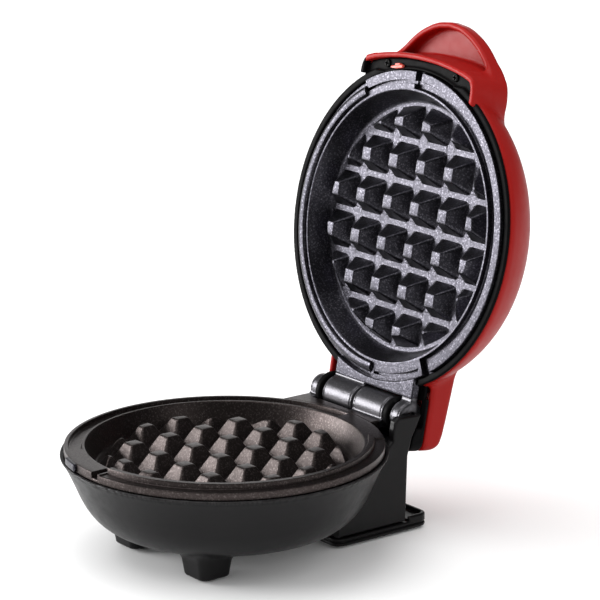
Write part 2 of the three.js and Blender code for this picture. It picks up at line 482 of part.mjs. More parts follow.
function makeLidFrame() {
  const ring = [[54.6, 3.8], [58.9, 3.8], [58.9, SHELL_W0], [59.95, SHELL_W0], [59.95, 5.4], [54.6, 5.4]];
  let s = turned(ring.map(([r, w]) => [r, up(w)]), 40);
  // flange that covers the shell's rim, left out under the lip
  let flange = turned([[0, 1.5], [61.3, 1.5], [61.3, 2.55], [0, 2.55]].map(([r, w]) => [r, up(w)]), 40).subtract(post(0, 0, 58.9, up(0), up(8), 40));
  flange = flange.subtract(raised(mirrorOutline(lipHalf, 30), up(0), up(8)));
  const neck = post(0, 0, 59.9, up(2.5), up(3.0), 40).subtract(post(0, 0, 58.9, up(0), up(8), 40));
  s = union(s, flange, neck);
  let lip = raised(mirrorOutline(inset(lipHalf, 2.5), 40), up(3.2), up(5.2));
  lip = lip.subtract(post(0, 0, 59.2, up(0), up(10), 40));
  s = s.add(lip);
  // rear block: a deck with walls down each side and across the back
  const plan = raised(roundRect(-27.6, 27.6, 20, 81.0, 4.3), up(0), up(8));
  let deck = box(-27.6, 27.6, 46, 81.0, up(4.8), up(6.1)).intersect(plan);
  deck = deck.subtract(post(0, 0, 59.0, up(0), up(10), 40));
  // deck narrows to fit under the round shell
  deck = deck.subtract(box(-40, -25.9, 40, 60.5, up(0), up(10))).subtract(box(25.9, 40, 40, 60.5, up(0), up(10)));
  const wall = [[3.2, 2.0], [6.6, 0.85], [12.6, 0.75], [12.6, 6.1], [-7.9, 6.1], [-7.9, 4.8], [2.9, 4.8]].map(([y, w]) => [HINGE_Y + y, up(w)]);
  let right = sideways(wall, 25.0, 27.6).intersect(plan);
  let left = sideways(wall, -27.6, -25.0).intersect(plan);
  let back = box(-25.6, 25.6, HINGE_Y + 8.0, 81.0, up(0.75), up(6.1)).intersect(plan);
  s = union(s, deck, right, left, back);
  // room for the plate knuckles, then the two lugs on the pin
  s = s.subtract(box(-24.7, 24.7, HINGE_Y - 7.0, HINGE_Y + 7.0, up(-10), up(9)));
  s = s.subtract(rod(HINGE_Y, HINGE_Z, 7.0, -24.7, 24.7, 28));
  s = s.subtract(rod(HINGE_Y, HINGE_Z, 5.75, -32, -24.6, 28));
  s = s.subtract(box(-21.7, 24.7, 50, 62.0, up(-1), up(3.79)));
  const lug = (x0, x1, r) => union(rod(HINGE_Y, HINGE_Z, r, x0, x1, 28),
    box(x0, x1, HINGE_Y - 7.6, HINGE_Y + 8.4, up(4.8), up(6.1)));
  s = union(s, lug(-24.35, -21.6, 7.5), lug(15.35, 18.05, 6.8));
  s = s.subtract(rod(HINGE_Y, HINGE_Z, PIN_HOLE_R, -29, 24, 16));
  for (const sx of [-1, 1]) {
    s = s.subtract(post(sx * 19.5, -59.0, 1.3, up(0), up(8), 10));
    s = s.subtract(post(sx * 15, 77.9, 1.4, up(0), up(8), 10));
    s = s.subtract(post(sx * 15, 77.9, 2.3, up(0), up(2.6), 14));
  }
  return s;
}

add(lid, 'lid_shell', makeLidShell(), redPlastic);
add(lid, 'lid_frame', makeLidFrame(), blackPlastic);
add(lid, 'upper_plate', makeUpperPlate(), coating);
const topFloor = CAVITY_DEPTH + PLATE_SKIN;
add(lid, 'upper_heating_element', wire(elementPath(up(topFloor + 0.4 + ELEMENT_TUBE), up(14.2)), ELEMENT_TUBE, 38, 6), sheath);
{
  let s = turned([[0, 17.5], [44.5, 17.5], [46.5, 16.2], [47.2, 16.8], [45.0, 18.3], [0, 18.3]].map(([r, w]) => [r, up(w)]), 36);
  for (const [x, y] of bossXY) s = s.subtract(post(x, y, 1.75, up(10), up(25), 12));
  s = s.subtract(box(-13.5, 13.5, 41.8, 50, up(15), up(20)));
  add(lid, 'upper_heat_shield', s, aluminium);
}
bossXY.forEach(([x, y], i) =>
  add(lid, `upper_plate_screw_${['front', 'right', 'left'][i]}`, screw(x, y, up(20.1), -1, 3.0, 1.5, 1.4, 5.6), steel));
add(lid, 'indicator_lens', union(post(0, -30, 2.85, up(24.8), up(29.2), 20), post(0, -30, 2.85, up(29.1), up(29.8), 20, 1.9),
  post(0, -30, 4.0, up(24.4), up(25.5), 20)), lensRed);
add(lid, 'indicator_lamp', union(post(0, -30, 1.7, up(20.0), up(23.2), 14), post(0, -30, 1.7, up(23.1), up(24.2), 14, 0.8)), lensRed);
add(lid, 'lid_front_clip', union(box(-16.0, -9.4, -60.9, -60.1, up(0.9), up(2.9)), box(-14.0, -11.0, -61.4, -60.8, up(1.2), up(3.0))), coral);
for (const [name, sx] of [['lid_front_screw_left', -1], ['lid_front_screw_right', 1]])
  add(lid, name, screw(sx * 19.5, -59.0 - 0.0, up(1.7), 1, 1.7, 1.2, 0.95, 7.6, 12), steel);
for (const [name, sx] of [['lid_rear_screw_left', -1], ['lid_rear_screw_right', 1]])
  add(lid, name, screw(sx * 15, 77.9, up(1.15), 1, 1.95, 1.15, 1.05, 7.4, 12), steel);
for (const [name, sx] of [['upper_lead_left', -1], ['upper_lead_right', 1]])
  add(lid, name, wire([[sx * 9.6, 46.2, up(14.0)], [sx * 9.2, 50, up(13.6)], [sx * 8.6, 57, up(12.6)], [sx * 8.2, 65, up(10.6)],
    [sx * 8, 74, up(9.6)]], 1.05, 14, 6), wireRed);

const group = new THREE.Group();
group.name = 'waffle_maker';
group.add(base, hinge);
group.updateMatrixWorld(true);

export default group;
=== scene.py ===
import json
import math
import bmesh
import bpy
import numpy as np
from mathutils import Matrix, Vector
from mathutils.geometry import delaunay_2d_cdt


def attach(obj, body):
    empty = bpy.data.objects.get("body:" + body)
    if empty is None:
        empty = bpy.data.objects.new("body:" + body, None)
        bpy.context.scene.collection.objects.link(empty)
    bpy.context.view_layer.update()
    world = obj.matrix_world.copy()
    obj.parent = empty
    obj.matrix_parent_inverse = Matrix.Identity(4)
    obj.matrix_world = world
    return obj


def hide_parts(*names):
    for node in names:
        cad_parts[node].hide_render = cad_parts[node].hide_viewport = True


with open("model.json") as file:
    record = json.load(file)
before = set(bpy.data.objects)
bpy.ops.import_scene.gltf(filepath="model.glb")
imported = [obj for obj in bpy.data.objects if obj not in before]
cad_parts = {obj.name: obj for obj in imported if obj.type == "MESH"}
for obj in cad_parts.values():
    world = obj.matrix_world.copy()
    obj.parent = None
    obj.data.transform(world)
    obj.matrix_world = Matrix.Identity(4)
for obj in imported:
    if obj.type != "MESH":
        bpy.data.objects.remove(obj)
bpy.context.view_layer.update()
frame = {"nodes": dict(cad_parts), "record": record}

scene = bpy.context.scene

# ---------------------------------------------------------------- driving dimensions, mm
Y_SHIFT = -27.138
P = 40.9                 # parting plane above the ground
HY, HZ = 68.4, 42.3      # hinge pin
OPEN = math.radians(100.3)
PLATE_R = 58.5
DEPTH = 8.64             # cavity depth
TOP = 1.9                # post tops below the parting plane
PITCH, POST_HALF, POST_SLOPE, RING_R = 15.8, 6.64, 0.60, 45.3
PIN_HOLE_R = 1.98
COS, SIN = math.cos(OPEN), math.sin(OPEN)


def to_base(p):
    """Points drawn about the plate axis, mm, to the model frame, m."""
    q = np.array(p, float)
    q[:, 1] += Y_SHIFT
    return q * 0.001


def to_lid(p):
    """Points of the closed lid (x, y, height w above the parting plane), mm, to the open lid in the model frame, m."""
    q = np.array(p, float)
    a, b = q[:, 1] - HY, q[:, 2] + P - HZ
    q[:, 1] = HY + a * COS + b * SIN + Y_SHIFT
    q[:, 2] = HZ - a * SIN + b * COS
    return q * 0.001


# ---------------------------------------------------------------- distance fields
def poly_dist(poly, px, py):
    poly = np.asarray(poly, float)
    d = np.full(px.shape, 1e18)
    s = np.ones(px.shape)
    n = len(poly)
    for i in range(n):
        (ax, ay), (bx, by) = poly[i], poly[i - 1]
        ex, ey = bx - ax, by - ay
        if ex * ex + ey * ey < 1e-12:
            continue
        wx, wy = px - ax, py - ay
        t = np.clip((wx * ex + wy * ey) / (ex * ex + ey * ey), 0, 1)
        d = np.minimum(d, (wx - ex * t) ** 2 + (wy - ey * t) ** 2)
        c1, c2, c3 = py >= ay, py < by, ex * wy > ey * wx
        s = np.where((c1 & c2 & c3) | (~c1 & ~c2 & ~c3), -s, s)
    return s * np.sqrt(d)


class Field2:
    """A closed outline's signed distance, tabulated and read back by bilinear interpolation."""

    def __init__(self, poly, res=0.2, pad=8.0):
        poly = np.asarray(poly, float)
        self.lo = poly.min(0) - pad
        self.res = res
        n = np.ceil((poly.max(0) + pad - self.lo) / res).astype(int) + 2
        gx, gy = np.meshgrid(self.lo[0] + res * np.arange(n[0]), self.lo[1] + res * np.arange(n[1]), indexing="ij")
        self.t = poly_dist(poly, gx, gy).astype(np.float32)
        self.n = n

    def __call__(self, a, b):
        u, v = (a - self.lo[0]) / self.res, (b - self.lo[1]) / self.res
        uc, vc = np.clip(u, 0, self.n[0] - 1.001), np.clip(v, 0, self.n[1] - 1.001)
        i, j = uc.astype(np.int32), vc.astype(np.int32)
        fu, fv = uc - i, vc - j
        t = self.t
        out = (t[i, j] * (1 - fu) * (1 - fv) + t[i + 1, j] * fu * (1 - fv) + t[i, j + 1] * (1 - fu) * fv + t[i + 1, j + 1] * fu * fv)
        return out + np.hypot(u - uc, v - vc) * self.res


def smin(a, b, k):
    h = np.maximum(k - np.abs(a - b), 0) / k
    return np.minimum(a, b) - h * h * k * 0.25


def smax(a, b, k):
    return -smin(-a, -b, k)


def slab(c, lo, hi):
    return np.abs(c - (lo + hi) / 2) - (hi - lo) / 2


def box_d(x, y, z, b, k=0.8):
    return smax(smax(slab(x, b[0], b[1]), slab(y, b[2], b[3]), k), slab(z, b[4], b[5]), k)


def rod_x(x, y, z, cy, cz, r, x0, x1, k=0.8):
    return smax(np.hypot(y - cy, z - cz) - r, slab(x, x0, x1), k)


def post_z(x, y, z, cx, cy, r, z0, z1, k=0.6):
    return smax(np.hypot(x - cx, y - cy) - r, slab(z, z0, z1), k)


def smooth_line(pts, step=1.2):
    """Centripetal spline through the points, resampled."""
    p = np.asarray(pts, float)
    ext = np.vstack([2 * p[0] - p[1], p, 2 * p[-1] - p[-2]])
    out = [p[0]]
    for i in range(1, len(ext) - 2):
        p0, p1, p2, p3 = ext[i - 1:i + 3]
        t0 = 0.0
        t1 = t0 + np.linalg.norm(p1 - p0) ** 0.5
        t2 = t1 + np.linalg.norm(p2 - p1) ** 0.5
        t3 = t2 + np.linalg.norm(p3 - p2) ** 0.5
        n = max(2, int(np.linalg.norm(p2 - p1) / step) + 1)
        for t in np.linspace(t1, t2, n + 1)[1:]:
            a1 = (t1 - t) / (t1 - t0) * p0 + (t - t0) / (t1 - t0) * p1
            a2 = (t2 - t) / (t2 - t1) * p1 + (t - t1) / (t2 - t1) * p2
            a3 = (t3 - t) / (t3 - t2) * p2 + (t - t2) / (t3 - t2) * p3
            b1 = (t2 - t) / (t2 - t0) * a1 + (t - t0) / (t2 - t0) * a2
            b2 = (t3 - t) / (t3 - t1) * a2 + (t - t1) / (t3 - t1) * a3
            out.append((t2 - t) / (t2 - t1) * b1 + (t - t1) / (t2 - t1) * b2)
    return np.array(out)


EDGES = [(0, 1), (2, 3), (4, 5), (6, 7), (0, 2), (1, 3), (4, 6), (5, 7), (0, 4), (1, 5), (2, 6), (3, 7)]


def contour(f, lo, hi, h, relax=3):
    """The zero surface of f as quads: surface nets on the blocks near it, then each point is moved onto the surface."""
    lo, hi = np.asarray(lo, float) - 1.5 * h, np.asarray(hi, float) + 1.5 * h
    B = 8
    nb = np.ceil((hi - lo) / (h * B)).astype(int)
    n = nb * B
    def ev(pts):
        out = np.empty(len(pts), np.float32)
        for i in range(0, len(pts), 1500000):
            q = pts[i:i + 1500000]
            out[i:i + 1500000] = f(q[:, 0], q[:, 1], q[:, 2])
        return out
    bi = np.stack(np.meshgrid(*[np.arange(k) for k in nb], indexing="ij"), -1).reshape(-1, 3)
    mid = ev(lo + (bi * B + (B - 1) / 2) * h)
    near = np.abs(mid) < h * B * 0.5 * 1.7321 * 1.35 + h
    dense = np.empty(n, np.float32)
    view = dense.reshape(nb[0], B, nb[1], B, nb[2], B).transpose(0, 2, 4, 1, 3, 5)
    fill = np.where(mid < 0, -9.0, 9.0).reshape(nb)
    view[...] = fill[:, :, :, None, None, None]
    loc = np.stack(np.meshgrid(*[np.arange(B)] * 3, indexing="ij"), -1).reshape(-1, 3)
    act = bi[near]
    vals = ev((lo + (act[:, None, :] * B + loc[None]) * h).reshape(-1, 3)).reshape(-1, B, B, B)
    view[act[:, 0], act[:, 1], act[:, 2]] = vals
    s = dense < 0
    c = [s[i:n[0] - 1 + i, j:n[1] - 1 + j, k:n[2] - 1 + k] for i in (0, 1) for j in (0, 1) for k in (0, 1)]
    cnt = np.zeros(c[0].shape, np.uint8)
    for q in c:
        cnt += q
    idx = np.argwhere((cnt > 0) & (cnt < 8))
    corner = np.array([(i, j, k) for i in (0, 1) for j in (0, 1) for k in (0, 1)])
    v = np.stack([dense[idx[:, 0] + a, idx[:, 1] + b, idx[:, 2] + d] for a, b, d in corner], 1).astype(float)
    acc, num = np.zeros((len(idx), 3)), np.zeros(len(idx))
    for a, b in EDGES:
        hit = (v[:, a] < 0) != (v[:, b] < 0)
        t = v[hit, a] / (v[hit, a] - v[hit, b])
        acc[hit] += corner[a] + t[:, None] * (corner[b] - corner[a])
        num[hit] += 1
    pts = lo + (idx + acc / num[:, None]) * h
    vid = np.full(cnt.shape, -1, np.int32)
    vid[idx[:, 0], idx[:, 1], idx[:, 2]] = np.arange(len(idx))
    quads = []
    for axis in range(3):
        u, w = (axis + 1) % 3, (axis + 2) % 3
        sl0 = [slice(1, None)] * 3
        sl0[axis] = slice(0, n[axis] - 1)
        sl1 = list(sl0)
        sl1[axis] = slice(1, n[axis])
        sl0, sl1 = tuple(sl0), tuple(sl1)
        a, b = s[sl0], s[sl1]
        hit = np.argwhere(a != b)
        at = hit.copy()
        at[:, u] += 1
        at[:, w] += 1
        ok = (at[:, u] < n[u] - 1) & (at[:, w] < n[w] - 1)
        hit, at = hit[ok], at[ok]
        inside = a[hit[:, 0], hit[:, 1], hit[:, 2]]
        def cell(du, dw):
            q = at.copy()
            q[:, u] -= du
            q[:, w] -= dw
            return vid[q[:, 0], q[:, 1], q[:, 2]]
        quad = np.stack([cell(1, 1), cell(0, 1), cell(0, 0), cell(1, 0)], 1)
        quad[~inside] = quad[~inside][:, ::-1]
        quads.append(quad)
    quads = np.concatenate(quads)
    quads = quads[(quads >= 0).all(1)]
    e = 0.04
    for _ in range(relax):
        d = ev(pts)
        g = np.stack([(ev(pts + np.eye(3)[k] * e) - ev(pts - np.eye(3)[k] * e)) / (2 * e) for k in range(3)], 1)
        g2 = np.maximum((g ** 2).sum(1), 0.25)
        step = (d / g2)[:, None] * g
        ln = np.linalg.norm(step, axis=1)
        step *= np.minimum(1, 0.6 * h / np.maximum(ln, 1e-9))[:, None]
        pts = pts - step
    return pts, quads


# ---------------------------------------------------------------- mesh makers
def make(name, pts, faces, place, body, nodes, material, smooth=True, weighted=False, sharp=None):
    me = bpy.data.meshes.new(name)
    q = place(pts)
    me.from_pydata([tuple(p) for p in q], [], [tuple(int(i) for i in f) for f in faces])
    me.validate()
    me.update()
    ob = bpy.data.objects.new(name, me)
    scene.collection.objects.link(ob)
    me.materials.append(material)
    me.polygons.foreach_set("use_smooth", [smooth] * len(me.polygons))
    if sharp:
        bm = bmesh.new()
        bm.from_mesh(me)
        for e in bm.edges:
            if len(e.link_faces) == 2 and e.calc_face_angle(0) > math.radians(sharp):
                e.smooth = False
        bm.to_mesh(me)
        bm.free()
    if weighted:
        m = ob.modifiers.new("weighted", "WEIGHTED_NORMAL")
        m.keep_sharp = True
        m.weight = 60
    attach(ob, body)
    if nodes:
        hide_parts(*nodes)
    return ob


def made_field(name, f, lo, hi, h, place, body, nodes, material, relax=3):
    pts, quads = contour(f, lo, hi, h, relax)
    return make(name, pts, quads, place, body, nodes, material)


def lathe(profile, seg=64):
    """Closed profile of (r, z) turned about Z; points on the axis become one point."""
    pts, rings, faces = [], [], []
    for r, z in profile:
        if r < 1e-6:
            rings.append([len(pts)])
            pts.append((0, 0, z))
        else:
            ring = list(range(len(pts), len(pts) + seg))
            pts += [(r * math.cos(2 * math.pi * i / seg), r * math.sin(2 * math.pi * i / seg), z) for i in range(seg)]
            rings.append(ring)
    n = len(rings)
    closed = len(rings[0]) > 1 or len(rings[-1]) > 1
    for k in range(n if closed and len(rings[0]) > 1 else n - 1):
        a, b = rings[k], rings[(k + 1) % n]
        for i in range(seg):
            j = (i + 1) % seg
            if len(a) == 1 and len(b) == 1:
                break
            if len(a) == 1:
                faces.append((a[0], b[j], b[i]))
            elif len(b) == 1:
                faces.append((a[i], a[j], b[0]))
            else:
                faces.append((a[i], a[j], b[j], b[i]))
    return np.array(pts, float), faces


def turn_to(pts, axis, at):
    """Turns points drawn about Z so that Z becomes the named axis, then moves them."""
    p = np.array(pts, float)
    if axis == "x":
        p = p[:, [2, 0, 1]]
    elif axis == "y":
        p = p[:, [1, 2, 0]]
    elif axis == "-z":
        p = p * [1, -1, -1]
    return p + np.asarray(at, float)


# ---------------------------------------------------------------- materials
def nodes_of(name):
    m = bpy.data.materials.new(name)
    m.use_nodes = True
    nt = m.node_tree
    b = nt.nodes["Principled BSDF"]
    return m, nt, b


def N(nt, kind, **kw):
    n = nt.nodes.new(kind)
    for k, v in kw.items():
        if k in n.inputs:
            n.inputs[k].default_value = v
        else:
            setattr(n, k, v)
    return n


def ramp(nt, stops, fac):
    r = nt.nodes.new("ShaderNodeValToRGB")
    e = r.color_ramp.elements
    while len(e) > 1:
        e.remove(e[-1])
    e[0].position, e[0].color = stops[0][0], stops[0][1]
    for pos, col in stops[1:]:
        x = e.new(pos)
        x.color = col
    nt.links.new(fac, r.inputs["Fac"])
    return r


def grey(v):
    return (v, v, v, 1)


def mix_col(nt, fac, a, b, mode="MIX"):
    m = nt.nodes.new("ShaderNodeMix")
    m.data_type = "RGBA"
    m.blend_type = mode
    for sock, val in ((m.inputs[0], fac), (m.inputs[6], a), (m.inputs[7], b)):
        if hasattr(val, "links") or hasattr(val, "is_linked"):
            nt.links.new(val, sock)
        else:
            sock.default_value = val
    return m.outputs[2]


def moulded(name, dark, mid, edge_wear_and_highlight_colour, rough=(0.3, 0.42), grain=2600.0, bump=0.05, blotch=22.0, spec=0.5, coat=0.0, wear_and_edge_highlight=(0.53, 0.60), wear_and_highlight_amount=0.5, ior=1.5):
    """Moulded plastic: cloudy colour, fine grain in the bump, paler pointy edges that are partly rubbed wear and partly
    a painted edge highlight, and uneven gloss.
    """
    m, nt, b = nodes_of(name)
    L = nt.links.new
    tc = nt.nodes.new("ShaderNodeTexCoord")
    big = N(nt, "ShaderNodeTexNoise", Scale=blotch, Detail=5.0, Roughness=0.55)
    L(tc.outputs["Object"], big.inputs["Vector"])
    fine = N(nt, "ShaderNodeTexNoise", Scale=grain, Detail=3.0, Roughness=0.6)
    L(tc.outputs["Object"], fine.inputs["Vector"])
    mid_n = N(nt, "ShaderNodeTexNoise", Scale=260.0, Detail=6.0, Roughness=0.6)
    L(tc.outputs["Object"], mid_n.inputs["Vector"])
    base = ramp(nt, [(0.3, (*dark, 1)), (0.7, (*mid, 1))], big.outputs["Fac"])
    geo = nt.nodes.new("ShaderNodeNewGeometry")
    # pointy edges take the paler edge colour: partly rubbed wear, partly a painted highlight line along the edges
    w = ramp(nt, [(wear_and_edge_highlight[0], grey(0)), (wear_and_edge_highlight[1], grey(1))], geo.outputs["Pointiness"])
    broken = ramp(nt, [(0.42, grey(0.35)), (0.62, grey(1))], mid_n.outputs["Fac"])
    wm = N(nt, "ShaderNodeMath", operation="MULTIPLY")
    L(w.outputs["Color"], wm.inputs[0])
    L(broken.outputs["Color"], wm.inputs[1])
    wa = N(nt, "ShaderNodeMath", operation="MULTIPLY")
    L(wm.outputs[0], wa.inputs[0])
    wa.inputs[1].default_value = wear_and_highlight_amount
    col = mix_col(nt, wa.outputs[0], base.outputs["Color"], (*edge_wear_and_highlight_colour, 1))
    L(col, b.inputs["Base Color"])
    r = ramp(nt, [(0.3, grey(rough[0])), (0.7, grey(rough[1]))], mid_n.outputs["Fac"])
    L(r.outputs["Color"], b.inputs["Roughness"])
    bp = N(nt, "ShaderNodeBump", Strength=bump, Distance=0.0002)
    L(fine.outputs["Fac"], bp.inputs["Height"])
    bp2 = N(nt, "ShaderNodeBump", Strength=bump * 0.5, Distance=0.0006)
    L(mid_n.outputs["Fac"], bp2.inputs["Height"])
    L(bp.outputs["Normal"], bp2.inputs["Normal"])
    L(bp2.outputs["Normal"], b.inputs["Normal"])
    b.inputs["Specular IOR Level"].default_value = spec
    b.inputs["IOR"].default_value = ior
    b.inputs["Coat Weight"].default_value = coat
    b.inputs["Coat Roughness"].default_value = 0.12
    return m


def coated(name, dark, mid, fleck, metallic=0.45, rough=(0.34, 0.46), spec=0.5, fleck_share=0.55):
    """Non-stick coating on cast aluminium: dark film with fine pale flecks, slightly pebbled."""
    m, nt, b = nodes_of(name)
    L = nt.links.new
    tc = nt.nodes.new("ShaderNodeTexCoord")
    big = N(nt, "ShaderNodeTexNoise", Scale=45.0, Detail=5.0, Roughness=0.6)
    speck = N(nt, "ShaderNodeTexNoise", Scale=1900.0, Detail=4.0, Roughness=0.75)
    cells = N(nt, "ShaderNodeTexVoronoi", Scale=1150.0)
    for n in (big, speck, cells):
        L(tc.outputs["Object"], n.inputs["Vector"])
    base = ramp(nt, [(0.3, (*dark, 1)), (0.7, (*mid, 1))], big.outputs["Fac"])
    f1 = ramp(nt, [(0.46, grey(0)), (0.60, grey(1))], speck.outputs["Fac"])
    f2 = ramp(nt, [(0.30, grey(1)), (0.62, grey(0.1))], cells.outputs["Distance"])
    fm = N(nt, "ShaderNodeMath", operation="MULTIPLY")
    L(f1.outputs["Color"], fm.inputs[0])
    L(f2.outputs["Color"], fm.inputs[1])
    fa = N(nt, "ShaderNodeMath", operation="MULTIPLY")
    L(fm.outputs[0], fa.inputs[0])
    fa.inputs[1].default_value = fleck_share
    col = mix_col(nt, fa.outputs[0], base.outputs["Color"], (*fleck, 1))
    L(col, b.inputs["Base Color"])
    r = ramp(nt, [(0.25, grey(rough[0])), (0.75, grey(rough[1]))], speck.outputs["Fac"])
    L(r.outputs["Color"], b.inputs["Roughness"])
    bp = N(nt, "ShaderNodeBump", Strength=0.22, Distance=0.00012)
    L(cells.outputs["Distance"], bp.inputs["Height"])
    bp2 = N(nt, "ShaderNodeBump", Strength=0.14, Distance=0.0003)
    L(speck.outputs["Fac"], bp2.inputs["Height"])
    L(bp.outputs["Normal"], bp2.inputs["Normal"])
    L(bp2.outputs["Normal"], b.inputs["Normal"])
    b.inputs["Metallic"].default_value = metallic
    b.inputs["Specular IOR Level"].default_value = spec
    return m


def metal(name, dark, light, rough=(0.25, 0.4), scale=(400, 400, 30), metallic=1.0):
    """Plain metal with fine drawn lines and cloudy tarnish."""
    m, nt, b = nodes_of(name)
    L = nt.links.new
    tc = nt.nodes.new("ShaderNodeTexCoord")
    mp = nt.nodes.new("ShaderNodeMapping")
    mp.inputs["Scale"].default_value = scale
    L(tc.outputs["Object"], mp.inputs["Vector"])
    a = N(nt, "ShaderNodeTexNoise", Scale=6.0, Detail=6.0, Roughness=0.65)
    L(mp.outputs["Vector"], a.inputs["Vector"])
    c = N(nt, "ShaderNodeTexNoise", Scale=90.0, Detail=4.0, Roughness=0.6)
    L(tc.outputs["Object"], c.inputs["Vector"])
    col = ramp(nt, [(0.25, (*dark, 1)), (0.75, (*light, 1))], c.outputs["Fac"])
    L(col.outputs["Color"], b.inputs["Base Color"])
    r = ramp(nt, [(0.25, grey(rough[0])), (0.75, grey(rough[1]))], a.outputs["Fac"])
    L(r.outputs["Color"], b.inputs["Roughness"])
    bp = N(nt, "ShaderNodeBump", Strength=0.12, Distance=0.0001)
    L(a.outputs["Fac"], bp.inputs["Height"])
    L(bp.outputs["Normal"], b.inputs["Normal"])
    b.inputs["Metallic"].default_value = metallic
    return m


def braided(name, a, c):
    m, nt, b = nodes_of(name)
    L = nt.links.new
    tc = nt.nodes.new("ShaderNodeTexCoord")
    w1 = N(nt, "ShaderNodeTexWave", Scale=420.0, Distortion=1.5, Detail=2.0)
    L(tc.outputs["Object"], w1.inputs["Vector"])
    col = ramp(nt, [(0.2, (*a, 1)), (0.8, (*c, 1))], w1.outputs["Fac"])
    L(col.outputs["Color"], b.inputs["Base Color"])
    bp = N(nt, "ShaderNodeBump", Strength=0.5, Distance=0.0002)
    L(w1.outputs["Fac"], bp.inputs["Height"])
    L(bp.outputs["Normal"], b.inputs["Normal"])
    b.inputs["Roughness"].default_value = 0.8
    return m


def lens_material(name, dark, mid):
    m, nt, b = nodes_of(name)
    L = nt.links.new
    tc = nt.nodes.new("ShaderNodeTexCoord")
    a = N(nt, "ShaderNodeTexNoise", Scale=300.0, Detail=3.0)
    L(tc.outputs["Object"], a.inputs["Vector"])
    col = ramp(nt, [(0.3, (*dark, 1)), (0.7, (*mid, 1))], a.outputs["Fac"])
    L(col.outputs["Color"], b.inputs["Base Color"])
    r = ramp(nt, [(0.3, grey(0.08)), (0.7, grey(0.16))], a.outputs["Fac"])
    L(r.outputs["Color"], b.inputs["Roughness"])
    b.inputs["Transmission Weight"].default_value = 0.35
    b.inputs["IOR"].default_value = 1.49
    return m


RED = moulded("red_plastic", (0.270, 0.0040, 0.0028), (0.300, 0.0056, 0.0040), (0.42, 0.05, 0.04), rough=(0.36, 0.46), grain=3000, bump=0.035, spec=0.5, ior=1.24, wear_and_edge_highlight=(0.56, 0.64), wear_and_highlight_amount=0.2)
# the black plastic's paler edges are mostly a painted highlight line along the cheek, base cover and leg edges, with a
# little rubbed wear
BLACK = moulded("black_plastic", (0.0040, 0.0038, 0.0042), (0.0062, 0.0058, 0.0062), (0.06, 0.057, 0.058), rough=(0.30, 0.42), grain=2400, bump=0.06, spec=0.5, ior=1.25, wear_and_edge_highlight=(0.535, 0.60), wear_and_highlight_amount=0.6)
# the inner frame's black is painted darker than the other black plastic, standing in for the shade it sits in; its
# matte gloss is its own
FRAME_BLACK_SHADED = moulded("frame_black_painted_shade", (0.0022, 0.0021, 0.0023), (0.0038, 0.0036, 0.0040), (0.05, 0.048, 0.05), rough=(0.48, 0.60), grain=2400, bump=0.06, spec=0.5, ior=1.12, wear_and_edge_highlight=(0.56, 0.64), wear_and_highlight_amount=0.3)
COAT = coated("nonstick_upper", (0.025, 0.0243, 0.030), (0.035, 0.0335, 0.041), (0.26, 0.25, 0.29), metallic=0.96, rough=(0.27, 0.36), fleck_share=0.45)
COAT_LOW = coated("nonstick_lower", (0.037, 0.0295, 0.028), (0.052, 0.041, 0.039), (0.25, 0.215, 0.21), metallic=0.9, rough=(0.32, 0.44), fleck_share=0.4)
# the barrels belong to the plates and carry the same coating; their base colour is painted about three times paler to
# stand in for the light they catch, with fewer flecks and smoother gloss
BARREL_PAINTED_LIGHTER = coated("nonstick_barrels_painted_lighter", (0.082, 0.080, 0.087), (0.108, 0.105, 0.114), (0.26, 0.255, 0.275), metallic=0.95, rough=(0.30, 0.40), fleck_share=0.3)
RUBBER = moulded("rubber", (0.010, 0.010, 0.010), (0.018, 0.018, 0.018), (0.05, 0.05, 0.05), rough=(0.7, 0.85), grain=1600, bump=0.2, spec=0.3)
DARK_STEEL = metal("blackened_steel", (0.006, 0.006, 0.006), (0.012, 0.012, 0.012), rough=(0.4, 0.55))
STEEL = metal("zinc_steel", (0.50, 0.50, 0.52), (0.66, 0.66, 0.67), rough=(0.22, 0.38))
ALU = metal("sheet_aluminium", (0.60, 0.61, 0.62), (0.74, 0.75, 0.76), rough=(0.3, 0.48))
SHEATH = metal("element_sheath", (0.16, 0.14, 0.12), (0.28, 0.25, 0.22), rough=(0.4, 0.6))
CERAMIC = moulded("ceramic", (0.66, 0.62, 0.54), (0.76, 0.72, 0.64), (0.85, 0.82, 0.75), rough=(0.5, 0.65), grain=1200, bump=0.1)
NYLON = moulded("nylon", (0.62, 0.60, 0.55), (0.72, 0.70, 0.65), (0.8, 0.78, 0.74), rough=(0.45, 0.6), grain=1500, bump=0.08)
WIRE = braided("wire_sleeve", (0.35, 0.28, 0.20), (0.62, 0.54, 0.42))
LENS = lens_material("lens", (0.42, 0.015, 0.012), (0.60, 0.03, 0.02))
CORAL = moulded("coral_plastic", (0.72, 0.10, 0.07), (0.80, 0.13, 0.095), (0.9, 0.3, 0.25), rough=(0.35, 0.5), grain=2000, bump=0.08)

SLOT_MAT = {"red_plastic": RED, "black_plastic": BLACK, "nonstick_plate": COAT, "element_sheath": SHEATH, "shield_metal": ALU,
            "ceramic": CERAMIC, "nylon": NYLON, "wire_sleeve": WIRE, "rubber": RUBBER, "steel": STEEL, "lens": LENS, "coral_plastic": CORAL}
for sp in frame["record"]["subparts"]:
    ob = frame["nodes"].get(sp["node"])
    if ob is not None:
        ob.data.materials.clear()
        ob.data.materials.append(SLOT_MAT[sp["material_slot"]])


# ---------------------------------------------------------------- lid shell
def mirrored(half, back):
    h = [(x, v) for x, v in half]
    return [(-h[-1][0], back)] + [(-x, v) for x, v in reversed(h[1:])] + h + [(h[-1][0], back)]


